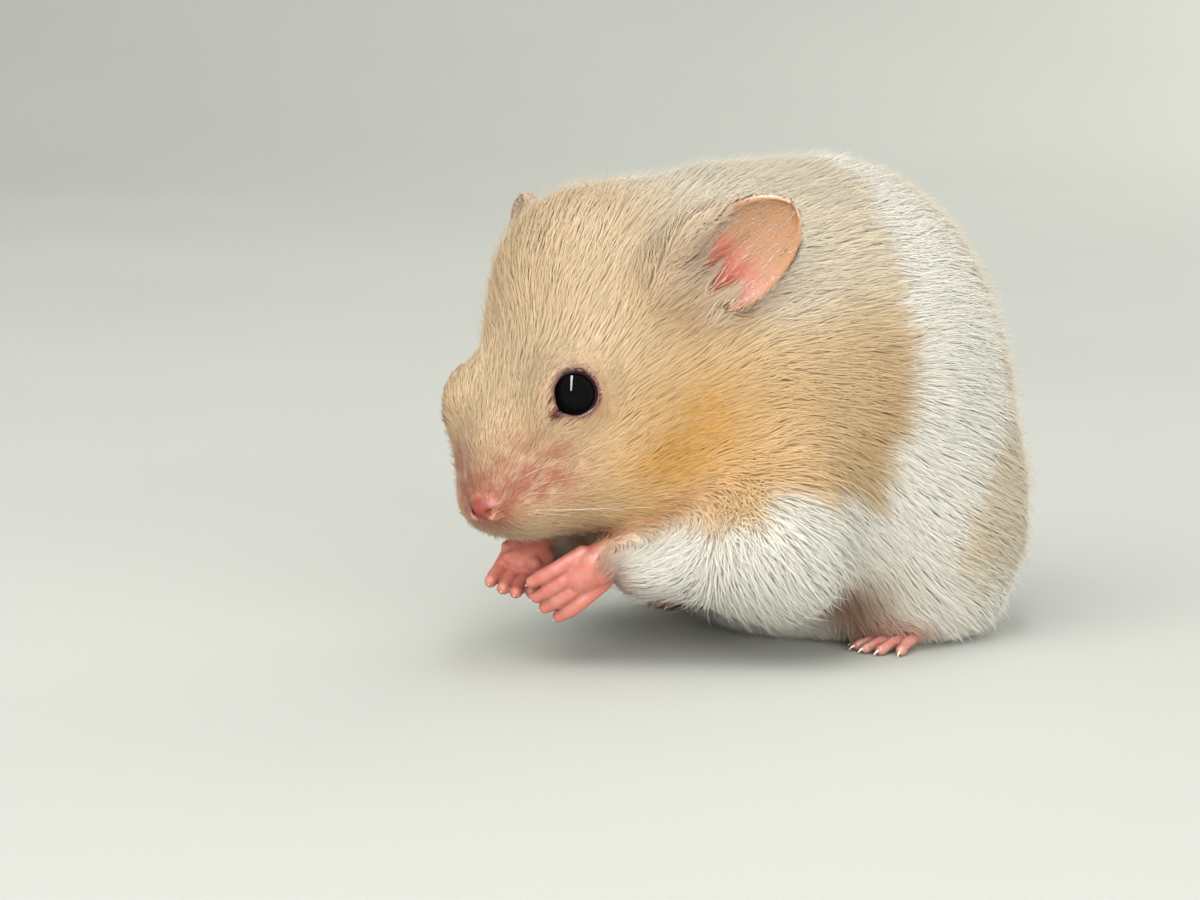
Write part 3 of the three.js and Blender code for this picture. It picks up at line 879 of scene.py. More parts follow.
def bareness(points):
    """1 where the skin is bare: nose, paws, toes, eyes and the inside of the ears."""
    head = to_head(points)
    nose = length_of((head - NOSE_MIDDLE) / NOSE_SIZE)
    bare = 1 - ramp(nose, 0.98, 1.2)
    for side, name in SIDES.items():
        wrist = from_head(PAWS[side]["wrist"])
        reach = turn_from_head(unit(PAWS[side]["reach"]))
        beyond = (points - wrist) @ reach
        bare = np.maximum(bare, how_near(f"paw_{name}", points, 0.8, 2.0) * ramp(beyond, -1.0, 1.2))
        bare = np.maximum(bare, how_near(f"foot_{name}", points, 0.4, 1.6) * ramp(-points[:, 1], -12, -8))
        bare = np.maximum(bare, 1 - ramp(from_fingers(points, side), 1.4, 1.8))
        off_axis, fold = off_eye(points, side)
        bare = np.maximum(bare, np.maximum(1 - ramp(off_axis, 2.5, 2.8), 1 - ramp(fold, 0.2, 0.5)))
    return bare


# --- Making objects -------------------------------------------------------------------------------
def new_object(name, mesh):
    piece = bpy.data.objects.new(name, mesh)
    bpy.context.scene.collection.objects.link(piece)
    return piece


def mesh_from(name, points, faces):
    """A mesh from arrays, with faces that all have as many corners."""
    mesh = bpy.data.meshes.new(name)
    sides = faces.shape[1]
    mesh.vertices.add(len(points))
    mesh.vertices.foreach_set("co", np.ascontiguousarray(points * MM, np.float32).ravel())
    mesh.loops.add(faces.size)
    mesh.loops.foreach_set("vertex_index", np.ascontiguousarray(faces, np.int32).ravel())
    mesh.polygons.add(len(faces))
    mesh.polygons.foreach_set("loop_start", np.arange(0, faces.size, sides, dtype=np.int32))
    mesh.update(calc_edges=True)
    mesh.shade_smooth()
    return mesh


def set_values(mesh, name, values):
    layer = mesh.attributes.new(name, "FLOAT", "POINT")
    layer.data.foreach_set("value", np.ascontiguousarray(values, np.float32))


# --- The coat -------------------------------------------------------------------------------------
COAT_TRIANGLES = 1_400_000
PIECE_TRIANGLES = 190_000
FEWEST_TUFTS = 20               # a region with fewer gets no piece of its own
TUFT_SHORTEST, TUFT_STRETCH = 0.5, 2.8          # a tuft's length, and what the coat's depth adds to it
TUFT_THINNEST, TUFT_WIDENING = 0.115, 0.006     # its width, and what its length adds to it
FLUFF = 0.4                     # how much further the coat stands off on top of the back
STRAYS = 0.17                   # the share of tufts that stand up off the rest
LOCK, STRAND = (1.5, 21), (0.7, 23)             # clumps of tufts: size and seed
RINGS = 2                       # rings of three points from root towards tip, before the tip itself
RING_TURNS = (90, 210, 330)     # the points of a ring, in degrees
RING_WIDTHS = (0.8, 1.0)
TUFT_POINTS = 3 * RINGS + 1
PATCH = 0.003                   # a tuft's width on the unwrap of the skin
LOWEST = 0.06                   # tufts keep this far above the floor
COAT_SLOTS = {"head": "coat_cream", "neck": "coat_tan", "trunk": "coat_tan", "tail": "coat_white"}
COAT_REGIONS = (*COAT_SLOTS, "arm_left", "arm_right", "thigh_left", "thigh_right")


def tuft_faces():
    """The triangles of one closed tuft: three points a ring, and one at the tip."""
    faces = [(0, 2, 1)]
    for ring in range(RINGS - 1):
        for i in range(3):
            a, b = 3 * ring + i, 3 * ring + (i + 1) % 3
            faces += [(a, b, b + 3), (a, b + 3, a + 3)]
    last = 3 * (RINGS - 1)
    faces += [(last + i, last + (i + 1) % 3, last + 3) for i in range(3)]
    return np.array(faces)[:, ::-1]


def scatter(points, quads, density, count, rng):
    """Places on a mesh, spread by a density at its points."""
    a, b, c, d = (points[quads[:, i]] for i in range(4))
    area = 0.5 * length_of(np.cross(c - a, d - b))
    share = np.cumsum(area * density[quads].mean(1))
    share /= share[-1]
    face = np.searchsorted(share, (np.arange(count) + rng.uniform(0, 1, count)) / count)
    face = np.minimum(face, len(quads) - 1)
    u, v = rng.uniform(0, 1, (2, count, 1))
    return mix(mix(a[face], b[face], u), mix(d[face], c[face], u), v)


def lie_on_body(points):
    """Back along the body and down its sides, and straight down the chest."""
    x, y, z = points.T
    drop = mix(0.08, 1.0, ramp(38 - z, 0, 32))
    on_body = unit(np.stack([0.006 * x, np.ones(len(x)), -drop], 1))
    chest = ramp(-8 - y, 0, 12) * ramp(24 - z, 0, 8)
    return unit(mix(on_body, np.stack([0.01 * x, 0.35 + 0 * x, -1 + 0 * x], 1), chest[:, None]))


def lie(points):
    """The way the coat lies at each point, before it is laid along the skin."""
    is_head = head_share(points, -5, 3)
    on_head = turn_from_head(unit(to_head(points) - (0, -5, -3)) + (0, 0.3, 0))
    way = unit(mix(lie_on_body(points), on_head, is_head[:, None]))
    for side, name in SIDES.items():
        wrist = centre(f"forepaw_{name}")
        distance = length_of(points - wrist)
        to_wrist = unit(wrist - points + (0, 0, 1.0))
        on_arm = unit(mix(to_wrist, np.array([0.0, 0.75, -0.9]), ramp(distance, 9, 19)[:, None]))
        arm = how_near(f"arm_{name}", points, 0.5, 4) * (1 - ramp(distance, 20, 28)) * (1 - is_head)
        way = unit(mix(way, on_arm, arm[:, None]))
        thigh = how_near(f"thigh_{name}", points, 0, 4)
        way = unit(mix(way, np.array([0.0, 0.85, -0.62]), thigh[:, None] * 0.6))
        _, along, _, face = ear_frame(side)
        way = unit(mix(way, unit(along), on_ear(points, side, 0.0, 0.3)[:, None]))
        way = unit(mix(way, unit(unit(along) + face * 0.25), ear_fringe(points, side)[:, None]))
    return way


def clear_of_eye(line, side):
    """Pushes the points of tufts aside, off the open part of an eye."""
    way = eye_frame(side)[0]
    out = line - EYES[side]
    depth = out @ way
    aside = out - depth[..., None] * way
    off_axis = length_of(aside)
    near_eye = (length_of(out) < 6) & (depth > 0)
    wanted = np.where(near_eye, np.maximum(off_axis, EYE_OPENING + 0.24), off_axis)
    return line + unit(aside) * (wanted - off_axis)[..., None]


def sideways(roots, number, rng):
    """How each tuft leans off the coat's way: in waves, with its lock, and by itself."""
    waves = np.stack([ripple(roots, 5.0, seed) for seed in (31, 32, 33)], 1)
    own = np.stack([number, (number * 7.3) % 1, (number * 17.1) % 1], 1) - 0.5
    return waves * 0.16 + own * 0.15 + rng.normal(0, 0.1, roots.shape)


def march(skin, roots, length, height, rng):
    """The tufts' middle lines, laid along the skin, and the skin's normals on them."""
    lock, number = clump(roots, *LOCK)
    sway = sideways(roots, number, rng)
    at = np.array(roots)
    line, normals = [], []
    for step in range(RINGS + 1):
        s = step / RINGS
        normal = skin.slope(at, 0.5)
        if step:
            way = unit(across_slope(lie(at) + sway * (0.7 + 0.6 * s), normal))
            at = at + way * (length / RINGS)[:, None]
            at = at + across_slope(lock - roots, normal) * (0.13 * (s ** 1.5 - ((step - 1) / RINGS) ** 1.5))
            normal = skin.slope(at, 0.5)
        target = height * (1 - (1 - s) ** 1.7) - (0.12 if step == 0 else 0)
        at = at + normal * np.clip(target - skin.at(at), -1.5, 1.5)[:, None]
        line.append(at)
        normals.append(normal)
    line = np.stack(line, 1)
    for side in SIDES:
        line = clear_of_eye(line, side)
    line[..., 2] = np.maximum(line[..., 2], LOWEST)
    return line, np.stack(normals, 1)


def grow(skin, roots, length, height, width, rng):
    """The points, normals and root-to-tip shares of tufts that rise from the skin and lie along it."""
    line, normals = march(skin, roots, length, height, rng)
    along = unit(np.gradient(line, axis=1))
    across = unit(np.cross(along, normals))
    out = np.cross(across, along)
    corners, shading = [], []
    for ring, turn in itertools.product(range(RINGS), RING_TURNS):
        c, s = math.cos(math.radians(turn)), math.sin(math.radians(turn))
        offset = across[:, ring] * c + out[:, ring] * s * 0.3
        corners.append(line[:, ring] + offset * (width * RING_WIDTHS[ring] / 2)[:, None])
        shading.append(unit(normals[:, ring] + offset * 0.3))
    corners.append(line[:, -1])
    shading.append(unit(normals[:, -1]))
    shares = np.repeat(np.arange(RINGS + 1) / RINGS, 3)[:TUFT_POINTS]
    return np.stack(corners, 1), np.stack(shading, 1), shares, line


def unwrap(skin):
    """A light copy of the skin with a flat map of its own shape, for the tufts' places on that map."""
    first = skin.first
    every_other = tuple(slice(start % 2, None, 2) for start in first)
    points, quads = surface(Field(first // 2, skin.step * 2, skin.values[every_other]))
    triangles = in_triangles(quads)
    piece = new_object("unwrap", mesh_from("unwrap", points, triangles))
    piece.data.uv_layers.new(name="flat")
    bpy.context.view_layer.objects.active = piece
    piece.select_set(True)
    bpy.ops.object.mode_set(mode="EDIT")
    bpy.ops.mesh.select_all(action="SELECT")
    bpy.ops.uv.smart_project(angle_limit=math.radians(70), island_margin=0.002)
    bpy.ops.object.mode_set(mode="OBJECT")
    flat = np.empty(len(triangles) * 6, np.float32)
    piece.data.uv_layers["flat"].uv.foreach_get("vector", flat)
    bpy.data.objects.remove(piece)
    return points, triangles, flat.reshape(-1, 3, 2)


def flat_places(unwrapped, roots):
    """Each root's place on the flat map."""
    points, triangles, flat = unwrapped
    tree = BVHTree.FromPolygons(points.tolist(), triangles.tolist())
    face = np.array([tree.find_nearest(root)[2] for root in roots.tolist()])
    a, b, c = (points[triangles[face, i]] for i in range(3))
    normal = np.cross(b - a, c - a)
    size = np.maximum(np.sum(normal ** 2, axis=1), 1e-12)
    share_b = np.clip(np.sum(np.cross(roots - a, c - a) * normal, axis=1) / size, 0, 1)
    share_c = np.clip(np.sum(np.cross(b - a, roots - a) * normal, axis=1) / size, 0, 1)
    shares = (1 - share_b - share_c, share_b, share_c)
    return sum(flat[face, i] * share[:, None] for i, share in enumerate(shares))


def coat_piece(name, corners, shading, shares, marks, shade, flat, material):
    """One mesh of tufts, with its marks and its map."""
    count = len(corners)
    one = tuft_faces()
    faces = (one[None] + np.arange(count)[:, None, None] * TUFT_POINTS).reshape(-1, 3)
    mesh = mesh_from(name, corners.reshape(-1, 3), faces)
    for mark, values in marks.items():
        set_values(mesh, mark, np.repeat(values, TUFT_POINTS))
    set_values(mesh, "shade", np.repeat(shade, TUFT_POINTS))
    set_values(mesh, "along", np.tile(shares, count))
    low, high = flat.min(0), flat.max(0)
    spread = 0.01 + 0.98 * (flat - low) / np.maximum(high - low, 1e-6)
    turn = np.radians(RING_TURNS * RINGS + RING_TURNS[:1])
    patch = np.stack([np.cos(turn) * 0.5, shares - 0.5], 1) * PATCH
    places = np.clip(spread[:, None] + patch[None], 0, 1).reshape(-1, 2)
    layer = mesh.uv_layers.new(name="OFBake")
    layer.uv.foreach_set("vector", np.ascontiguousarray(places[faces.ravel()], np.float32).ravel())
    mesh.normals_split_custom_set_from_vertices(shading.reshape(-1, 3))
    piece = new_object(name, mesh)
    mesh.materials.append(material)
    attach(piece, "root")
    return piece


def tuft_length(depth):
    return TUFT_SHORTEST + TUFT_STRETCH * depth


def tuft_width(length):
    return TUFT_THINNEST + TUFT_WIDENING * length


def tuft_density(points):
    """How closely the tufts stand at each point of the skin."""
    length = tuft_length(coat_depth(points))
    density = (1 - bareness(points)) / (length * tuft_width(length))
    density *= mix(0.3, 1, ramp(points[:, 2], 0.5, 4))
    for side, ear in EARS.items():
        s, _, height = ear_places(points, side)
        open_side = np.maximum(ramp(height, -0.1, 0.15), ramp(s, 0.7, 0.85))
        bald = 0.97 * on_ear(points, side, 0.05, 0.2) * open_side
        density *= 1 - bald * (1 - 0.8 * ear_fringe(points, side)) * ear["bald"]
    return density


def tuft_sizes(roots, stand, rng):
    """Each tuft's length, its width, and how high its tip stands off the skin."""
    count = len(roots)
    depth = coat_depth(roots)
    length = tuft_length(depth) * rng.uniform(0.72, 1.2, count)
    width = tuft_width(length) * rng.uniform(0.8, 1.25, count)
    height = depth * (0.66 + 0.24 * rng.uniform(0, 1, count) + 0.1 * stand)
    height *= 1 + FLUFF * ramp(roots[:, 2], 42, 52)
    stray = rng.uniform(0, 1, count) < STRAYS
    height = np.where(stray, height * rng.uniform(1.15, 2.2, count), height)
    return length, np.where(stray, width * 0.7, width), height


def tuft_shades(roots, stand, white, rng):
    """How light each tuft is, from 0 to 1, with less contrast in the white."""
    strand = clump(roots, *STRAND)[1]
    shade = 0.28 * (stand - 0.5) + 0.3 * (strand - 0.5) + rng.normal(0, 0.18, len(roots))
    return np.clip(0.5 + shade * (1 - 0.45 * white) + 0.1 * white, 0, 1)


def coat_parts(roots):
    """The region, number and tufts of each piece of the coat."""
    nearest = np.stack([near[name].at(roots) for name in COAT_REGIONS]).argmin(0)
    limit = PIECE_TRIANGLES // len(tuft_faces())
    for i, name in enumerate(COAT_REGIONS):
        members = np.flatnonzero(nearest == i)
        if len(members) < FEWEST_TUFTS:
            continue
        members = members[np.argsort(roots[members, 1], kind="stable")]
        for number, take in enumerate(np.array_split(members, math.ceil(len(members) / limit)), 1):
            yield name, number, take


def make_coat(skin, points, quads, material, share=1.0):
    rng = np.random.default_rng(7)
    count = int(COAT_TRIANGLES / len(tuft_faces()) * share)
    roots = scatter(points, quads, tuft_density(points), count, rng)
    stand = clump(roots, *LOCK)[1]
    length, width, height = tuft_sizes(roots, stand, rng)
    corners, shading, shares, line = grow(skin, roots, length, height, width, rng)
    marks = markings(line[:, RINGS - 1])
    shade = tuft_shades(roots, stand, marks["white"], rng)
    flat = flat_places(unwrap(skin), roots)
    for name, number, take in coat_parts(roots):
        taken = {mark: values[take] for mark, values in marks.items()}
        coat_piece(f"coat_{name}_{number}", corners[take], shading[take], shares,
                   taken, shade[take], flat[take], material)


# --- Materials ------------------------------------------------------------------------------------
# Colours as linear light, from the sRGB that a paint chart would give.
def linear(red, green, blue):
    parts = [c / 255 for c in (red, green, blue)]
    return (*[c / 12.92 if c <= 0.04045 else ((c + 0.055) / 1.055) ** 2.4 for c in parts], 1.0)


# The warm brown is painted shade along the jaw, throat, forearms, thighs and inside the ears; the dark
# red-brown is the skin round the eyes and is also painted as shadow under the thigh.
COAT_COLOURS = dict(
    base=linear(238, 208, 166), pale=linear(243, 230, 206), tan=linear(216, 184, 138),
    rump=linear(236, 222, 196), gold=linear(240, 182, 96), dusk=linear(206, 152, 108),
    white=linear(253, 249, 237), flush=linear(198, 126, 102), rim=linear(98, 38, 28))


class Nodes:
    """A short way to write a node tree."""

    def __init__(self, name):
        self.material = bpy.data.materials.new(name)
        self.material.use_nodes = True
        self.tree = self.material.node_tree
        self.shader = self.tree.nodes["Principled BSDF"]

    def make(self, kind, settings=(), **values):
        node = self.tree.nodes.new(kind)
        for key, value in dict(settings).items():
            setattr(node, key, value)
        for key, value in values.items():
            name = int(key[2:]) if key.startswith("in") else key.replace("_", " ")
            self.put(node.inputs[name], value)
        return node

    def put(self, socket, value):
        if isinstance(value, bpy.types.NodeSocket):
            self.tree.links.new(value, socket)
        else:
            socket.default_value = value

    def mark(self, name):
        return self.make("ShaderNodeAttribute", {"attribute_name": name}).outputs["Fac"]

    def math(self, operation, a, b=0.0, clamp=False):
        settings = {"operation": operation, "use_clamp": clamp}
        return self.make("ShaderNodeMath", settings, in0=a, in1=b).outputs[0]

    def blend(self, a, b, share, kind="MIX"):
        node = self.tree.nodes.new("ShaderNodeMix")
        node.data_type, node.blend_type = "RGBA", kind
        self.put(node.inputs["Factor"], share)
        self.put(node.inputs[6], a)
        self.put(node.inputs[7], b)
        return node.outputs[2]

    def noise(self, scale, detail=3.0):
        place = self.make("ShaderNodeTexCoord").outputs["Object"]
        return self.make("ShaderNodeTexNoise", Vector=place, Scale=scale, Detail=detail).outputs["Fac"]

    def spread(self, value, low, high, to_low=0.0, to_high=1.0):
        node = self.make("ShaderNodeMapRange", in0=value, in1=low, in2=high, in3=to_low, in4=to_high)
        return node.outputs[0]

    def finish(self, colour, roughness, bump=None, strength=0.3, distance=0.0002, **constants):
        self.put(self.shader.inputs["Base Color"], colour)
        self.put(self.shader.inputs["Roughness"], roughness)
        if bump is not None:
            node = self.make("ShaderNodeBump", Height=bump, Strength=strength, Distance=distance)
            self.put(self.shader.inputs["Normal"], node.outputs[0])
        for key, value in constants.items():
            self.shader.inputs[key.replace("_", " ")].default_value = value
        return self.material


def marked_colour(nodes):
    """The coat's colours laid over one another by the marks."""
    mottle = nodes.noise(900.0)
    colour = COAT_COLOURS["base"]
    for name in ("pale", "tan", "rump", "gold", "dusk", "white", "flush", "rim"):
        share = nodes.mark(name)
        if name in ("gold", "tan"):
            share = nodes.math("MULTIPLY", share, nodes.spread(mottle, 0.3, 0.7, 0.75, 1.12), True)
        colour = nodes.blend(colour, COAT_COLOURS[name], share)
    return colour


def coat_material():
    nodes = Nodes("fur")
    colour = marked_colour(nodes)
    along, shade = nodes.mark("along"), nodes.mark("shade")
    # Roots are laid a little lighter than tips: painted light that lifts the shade deep in the coat.
    tone = nodes.math("ADD", nodes.spread(along, 0, 1, 1.06, 1.0), nodes.spread(shade, 0, 1, -0.11, 0.08))
    tone = nodes.math("ADD", tone, nodes.spread(nodes.noise(2600.0), 0.3, 0.7, -0.03, 0.03))
    grey = nodes.make("ShaderNodeCombineColor", in0=tone, in1=tone, in2=tone).outputs[0]
    colour = nodes.blend(colour, grey, 1.0, "MULTIPLY")
    material = nodes.finish(colour, nodes.spread(shade, 0, 1, 0.55, 0.75), Specular_IOR_Level=0.25,
                            Sheen_Weight=0.25, Sheen_Roughness=0.5)
    through = nodes.make("ShaderNodeBsdfTranslucent", Color=colour).outputs[0]
    both = nodes.make("ShaderNodeMixShader", in0=0.35, in1=nodes.shader.outputs[0], in2=through).outputs[0]
    nodes.put(nodes.tree.nodes["Material Output"].inputs["Surface"], both)
    return material


def skin_material():
    nodes = Nodes("skin")
    furred = nodes.mark("furred")
    warm = nodes.blend(linear(198, 142, 128), linear(184, 78, 58), nodes.mark("warm"))
    veins = nodes.spread(nodes.noise(900.0), 0.35, 0.65)
    warm = nodes.blend(warm, linear(196, 104, 88), nodes.math("MULTIPLY", veins, 0.75))
    # Dark skin at the eyes and nose, and painted shade in the creases between the fingers and in the ears'
    # openings.
    warm = nodes.blend(warm, linear(92, 26, 20), nodes.mark("deep"))
    under = nodes.blend(marked_colour(nodes), linear(205, 160, 130), 0.25)
    colour = nodes.blend(warm, under, furred)
    # Painted shade on the upper inner skin of the ears.
    colour = nodes.blend(colour, linear(168, 126, 92), nodes.mark("tanned"))
    grain = nodes.math("ADD", nodes.noise(3500.0), nodes.noise(9000.0, 2.0))
    return nodes.finish(colour, nodes.spread(grain, 0.7, 1.3, 0.42, 0.6), bump=grain, strength=0.35,
                        distance=0.00012, Subsurface_Weight=0.25, Subsurface_Scale=0.0012)


def eye_material():
    nodes = Nodes("eye")
    fleck = nodes.noise(1500.0, 4.0)
    colour = nodes.blend(linear(5, 6, 9), linear(18, 12, 12), nodes.math("MULTIPLY", fleck, 0.5))
    return nodes.finish(colour, nodes.spread(fleck, 0.3, 0.7, 0.03, 0.07), Specular_IOR_Level=0.06)


def lid_material():
    nodes = Nodes("lids")
    grain = nodes.noise(4000.0)
    colour = nodes.blend(linear(16, 9, 9), linear(38, 18, 16), grain)
    return nodes.finish(colour, nodes.spread(grain, 0.3, 0.7, 0.5, 0.7), bump=grain, strength=0.2,
                        distance=0.00005, Specular_IOR_Level=0.06)


def claw_material():
    nodes = Nodes("claw")
    streak = nodes.noise(2500.0, 3.0)
    colour = nodes.blend(linear(238, 205, 190), linear(250, 236, 224), streak)
    return nodes.finish(colour, nodes.spread(streak, 0.3, 0.7, 0.3, 0.5), Coat_Weight=0.1)


# --- The skin as an object ------------------------------------------------------------------------
def skin_tones(points, marks):
    """How furred and warm the skin is, where it is dark at the eyes and nose or painted with shade in creases
    and inside the ears, with its ears' marks added to the coat's.
    """
    bare = bareness(points)
    warm, deep, tanned = np.zeros((3, len(points)))
    for side, name in SIDES.items():
        ear = EARS[side]
        s, t, height = ear_places(points, side)
        inside = on_ear(points, side, -0.05, 0.05) * ramp(height, -0.15, 0.15)
        inner = inside * (1 - 0.9 * ramp(s, 0.4, 0.72)) * (1 - 0.5 * ramp(np.abs(t), 0.65, 0.95))
        bare = np.maximum(bare, inner)
        warm = np.maximum(warm, inside * bell(s - 0.26, 0.32) * bell(t, 0.95))
        warm = np.maximum(warm, 0.3 * how_near(f"paw_{name}", points, 0.5, 1.5))
        # Painted shade darkens the upper inner skin of each ear, more on the near ear than on the far one.
        tanned = np.maximum(tanned, ear["dusk"] * inside * ramp(s, 0.3, 0.7))
        marks["tan"] = np.maximum(marks["tan"], ear["tan"] * inside)
        marks["pale"] = mix(marks["pale"], ear["pale"], inside)
        marks["dusk"] = np.maximum(marks["dusk"], ear["dusk"] * inside)
        # Painted shade in each ear's opening and in the creases between the fingers.
        deep = np.maximum(deep, inside * bell(s - 0.2, 0.09) * bell(t + 0.15, 0.4) * 0.7)
        deep = np.maximum(deep, 0.6 * between_fingers(points, paw_points(side)[1]))
        bare *= ramp(length_of(points - EYES[side]), 4.5, 6.0)
        off_axis, fold = off_eye(points, side)
        rim = np.maximum(1 - ramp(off_axis, 2.9, 3.4), 1 - ramp(fold, 0.4, 1.0))
        deep, bare = np.maximum(deep, rim), np.maximum(bare, rim)
    nose = length_of(to_head(points) - NOSE_MIDDLE)
    warm = np.maximum(warm, 1 - ramp(nose, 2.0, 3.2))
    deep = np.maximum(deep, 0.55 * (1 - ramp(nose, 2.0, 2.8)))
    return dict(furred=1 - bare, warm=warm, deep=deep, tanned=tanned)


def make_skin_piece(points, triangles):
    points = points.astype(float)
    piece = new_object("skin", mesh_from("skin", points, triangles))
    marks = markings(points)
    tones = skin_tones(points, marks)
    for name, values in (marks | tones).items():
        set_values(piece.data, name, values)
    piece.data.materials.append(skin_material())
    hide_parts(*FLESH)
    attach(piece, "root")


# --- Eyes, claws and whiskers as objects ----------------------------------------------------------
EYEBALL = (3.08, 3.08, 3.12)    # radii across and along the way the eye looks
LID_WIDTH, LID_HEIGHT, LID_SIDES = 0.24, 0.2, 10
WHISKER_ROWS, WHISKERS_A_ROW = 3, 3
WHISKER_RADII = (0.015, 0.005)


def sphere_mesh(name, middle, axes, radii, rows=40, turns=64):
    """A closed ball of quads about an axis, with its poles capped by small fans."""
    angle = np.linspace(0, math.pi, rows + 1)[1:-1]
    turn = np.linspace(0, 2 * math.pi, turns, endpoint=False)
    ring = np.stack([np.outer(np.sin(angle), np.cos(turn)), np.outer(np.sin(angle), np.sin(turn)),
                     np.outer(np.cos(angle), np.ones(turns))], -1).reshape(-1, 3)
    points = np.concatenate([ring, [[0, 0, 1], [0, 0, -1]]]) * radii
    faces = []
    k = np.arange(turns)
    for i in range(rows - 2):
        a, b = i * turns + k, i * turns + (k + 1) % turns
        faces += [np.stack([a, a + turns, b + turns], 1), np.stack([a, b + turns, b], 1)]
    top, bottom, last = len(ring), len(ring) + 1, (rows - 2) * turns
    faces.append(np.stack([np.full(turns, top), k, (k + 1) % turns], 1))
    faces.append(np.stack([np.full(turns, bottom), last + (k + 1) % turns, last + k], 1))
    return mesh_from(name, points @ np.asarray(axes) + middle, np.concatenate(faces))


def make_eye(side, material):
    way, corner, across = eye_frame(side)
    name = f"eye_{SIDES[side]}"
    mesh = sphere_mesh(f"{name}_ball", EYES[side], np.stack([corner, across, way]), EYEBALL)
    mesh.materials.append(material)
    piece = new_object(f"{name}_ball", mesh)
    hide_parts(name)
    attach(piece, "root")


def make_lids(material):
    """The lids' dark wet edges: a closed ring round each eye's opening."""
    for side, name in SIDES.items():
        line = np.array(lid_line(side, EYE_OPENING, 0.12, 72)[:-1])
        around = unit(np.roll(line, -1, axis=0) - np.roll(line, 1, axis=0))
        out = unit(line - EYES[side])
        aside = np.cross(around, out)
        turn = np.linspace(0, 2 * math.pi, LID_SIDES, endpoint=False)[None, :, None]
        ring = np.cos(turn) * aside[:, None] * LID_WIDTH + np.sin(turn) * out[:, None] * LID_HEIGHT
        points = (line[:, None] + ring).reshape(-1, 3)
        i, j = np.meshgrid(np.arange(len(line)), np.arange(LID_SIDES), indexing="ij")
        here, there = i * LID_SIDES, (i + 1) % len(line) * LID_SIDES
        beside = (j + 1) % LID_SIDES
        faces = np.stack([here + j, here + beside, there + beside, there + j], -1).reshape(-1, 4)
        piece = new_object(f"lids_{name}", mesh_from(f"lids_{name}", points, faces))
        piece.data.materials.append(material)
        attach(piece, "root")


def strands(name, lines, radii, material, sides=6):
    """Thin closed tapering strands along lines of points, as one mesh."""
    all_points, all_faces, start = [], [], 0
    turn = np.linspace(0, 2 * math.pi, sides, endpoint=False)
    for line, (root, tip) in zip(lines, radii):
        line = np.asarray(line)
        along = unit(np.gradient(line, axis=0))
        side = unit(np.cross(along, (0.3, 0.2, 0.9)))
        other = np.cross(along, side)
        size = mix(root, tip, np.linspace(0, 1, len(line)))[:, None, None]
        ring = np.cos(turn)[None, :, None] * side[:, None] + np.sin(turn)[None, :, None] * other[:, None]
        all_points.append((line[:, None] + ring * size).reshape(-1, 3))
        k = np.arange(sides)
        for i in range(len(line) - 1):
            a, b = start + i * sides + k, start + i * sides + (k + 1) % sides
            all_faces += [np.stack([a, b, b + sides], 1), np.stack([a, b + sides, a + sides], 1)]
        end = start + (len(line) - 1) * sides
        fan = np.arange(1, sides - 1)
        all_faces.append(np.stack([np.full(sides - 2, start), start + fan + 1, start + fan], 1))
        all_faces.append(np.stack([np.full(sides - 2, end), end + fan, end + fan + 1], 1))
        start += len(line) * sides
    piece = new_object(name, mesh_from(name, np.concatenate(all_points), np.concatenate(all_faces)))
    piece.data.materials.append(material)
    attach(piece, "root")


def make_claws(material):
    for side, name in SIDES.items():
        _, fingers, _, _ = paw_points(side)
        lines = []
        for finger in fingers:
            ahead = unit(finger[-1] - finger[-2])
            up = unit(np.cross(ahead, unit(fingers[-1][0] - fingers[0][0]))) * -1
            start = finger[-1] + ahead * 0.35 + up * 0.1
            lines.append([start, start + ahead * 0.35 + up * 0.03, start + ahead * 0.65 - up * 0.1])
        strands(f"claws_forepaw_{name}", lines, [(0.17, 0.03)] * len(lines), material)
        _, toes = foot_points(side)
        lines = []
        for toe in toes:
            ahead = unit(toe[2] - toe[1])
            start = toe[2] + ahead * 0.3 + (0, 0, 0.12)
            lines.append([start, start + ahead * 0.55, start + ahead * 1.0 + (0, 0, -0.22)])
        strands(f"claws_hindfoot_{name}", lines, [(0.24, 0.04)] * len(lines), material)


def make_whiskers(skin, material):
    rng = np.random.default_rng(5)
    lines, radii = [], []
    for side in SIDES:
        for row in range(WHISKER_ROWS):
            for place in range(WHISKERS_A_ROW):
                spot = (3.4, 3.6 + 1.25 * place, 0.4 - 1.35 * row - 0.12 * place)
                root = skin.onto([from_head(mirrored(spot, side))])[0]
                long = mix(6.0, 13.0, place / (WHISKERS_A_ROW - 1)) * rng.uniform(0.85, 1.1)
                way = unit(np.array([0.85, 0.35 + 0.12 * place, 0.25 - 0.22 * row]) + rng.normal(0, 0.08, 3))
                way = turn_from_head(mirrored(way, side))
                bend = turn_from_head(mirrored((-0.1, 0.5, -0.45), side))
                t = np.linspace(0, 1, 9)[:, None]
                line = root - way * 0.3 + way * long * t + bend * long * 0.28 * t ** 2
                line[:, 2] = np.maximum(line[:, 2], 0.3)
                lines.append(line)
                radii.append(WHISKER_RADII)
    strands("whiskers", lines, radii, material, sides=5)


# --- Camera, floor and light ----------------------------------------------------------------------
CAMERA_AZIMUTH, CAMERA_ELEVATION = math.radians(50), math.radians(8)
CAMERA_DISTANCE = 400.0
CAMERA_LENS = 100.0
AIM = (0.0, 4.05, -1.2)             # from the trunk's middle
FRAME_RIGHT, FRAME_UP = 25.8, 6.0   # how far the aim lies right of and above the frame's middle


def camera_axes():
    a, e = CAMERA_AZIMUTH, CAMERA_ELEVATION
    back = np.array([math.sin(a) * math.cos(e), -math.cos(a) * math.cos(e), math.sin(e)])
    right = np.array([math.cos(a), math.sin(a), 0.0])
    return back, right, np.cross(back, right)


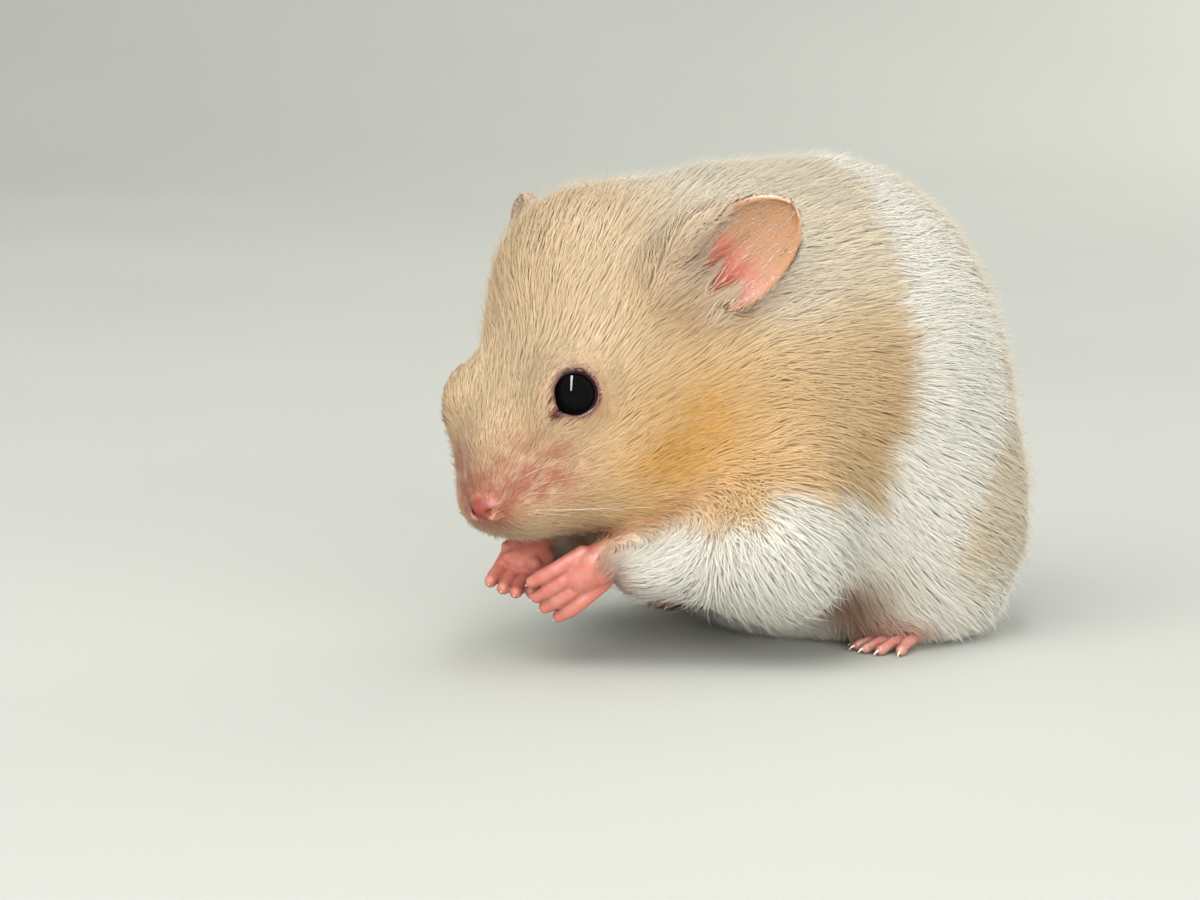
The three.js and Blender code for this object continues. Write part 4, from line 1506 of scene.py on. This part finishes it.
def make_camera():
    back, right, up = camera_axes()
    camera = bpy.data.objects.new("camera", bpy.data.cameras.new("camera"))
    bpy.context.scene.collection.objects.link(camera)
    place = centre("trunk") + AIM + back * CAMERA_DISTANCE - right * FRAME_RIGHT - up * FRAME_UP
    camera.location = Vector(place * MM)
    camera.rotation_euler = Vector(back).to_track_quat("Z", "Y").to_euler()
    camera.data.lens = CAMERA_LENS
    camera.data.sensor_width = 36.0
    camera.data.clip_start = 0.01
    bpy.context.scene.camera = camera


def make_light(name, way, distance, width, height, watts, colour=(1, 1, 1)):
    """A flat lamp that looks at the animal's middle from that way, in metres and watts."""
    lamp = bpy.data.lights.new(name, "AREA")
    lamp.shape = "RECTANGLE"
    lamp.size, lamp.size_y, lamp.energy, lamp.color = width, height, watts, colour
    piece = bpy.data.objects.new(name, lamp)
    bpy.context.scene.collection.objects.link(piece)
    way = unit(way)
    piece.location = Vector(centre("trunk") * MM + way * distance)
    piece.rotation_euler = Vector(way).to_track_quat("Z", "Y").to_euler()
    piece.visible_glossy = name == "streak"
    piece.visible_diffuse = piece.visible_transmission = name != "streak"


def make_studio():
    back, right, up = camera_axes()
    make_light("key", back * 0.8 - right * 0.55 + up * 0.7, 1.0, 0.9, 0.9, 7.6, (1.0, 0.985, 0.95))
    make_light("fill", back * 0.9 + right * 0.3 + up * 0.1, 1.2, 1.0, 0.4, 10.5, (1.0, 0.99, 0.96))
    make_light("rear", -back * 0.7 + right * 0.6 + up * 0.5, 1.3, 1.0, 1.0, 9.5, (1.0, 0.99, 0.96))
    make_light("streak", back * 0.62 - right * 0.02 + up * 0.85, 0.6, 0.07, 0.9, 26.0)
    world = bpy.data.worlds.new("studio")
    world.use_nodes = True
    background = world.node_tree.nodes["Background"]
    background.inputs["Color"].default_value = (0.97, 0.98, 0.94, 1)
    background.inputs["Strength"].default_value = 0.76
    bpy.context.scene.world = world
    bpy.context.scene.view_settings.view_transform = "Standard"


def make_floor():
    """A pale floor that sweeps up far behind the animal."""
    back, right, _ = camera_axes()
    away = unit(np.array([-back[0], -back[1], 0.0]))
    profile = [(-3.0, 0.0), (0.9, 0.0)]
    profile += [(0.9 + 0.8 * math.sin(a), 0.8 - 0.8 * math.cos(a)) for a in np.linspace(0.1, math.pi / 2, 14)]
    profile.append((1.7, 3.0))
    points = []
    for out, height in profile:
        for sideways in (-3.0, 3.0):
            points.append((away * out + right * sideways + np.array([0, 0, height])) / MM)
    k = np.arange(len(profile) - 1) * 2
    faces = np.stack([k, k + 1, k + 3, k + 2], 1)
    floor = new_object("floor", mesh_from("floor", np.array(points), faces))
    nodes = Nodes("floor")
    cloud = nodes.noise(6.0)
    colour = nodes.blend(linear(180, 182, 176), linear(188, 190, 184), cloud)
    floor.data.materials.append(nodes.finish(colour, nodes.spread(cloud, 0.3, 0.7, 0.8, 0.9)))


make_camera()
make_studio()
make_floor()
skin = make_skin()
make_skin_piece(*light_surface(skin, SKIN_ADAPT))
points, quads = surface(skin)
make_coat(skin, points.astype(float), quads, coat_material(), 1.0)
eye = eye_material()
for side in SIDES:
    make_eye(side, eye)
make_lids(lid_material())
claw = claw_material()
make_claws(claw)
make_whiskers(skin, claw)
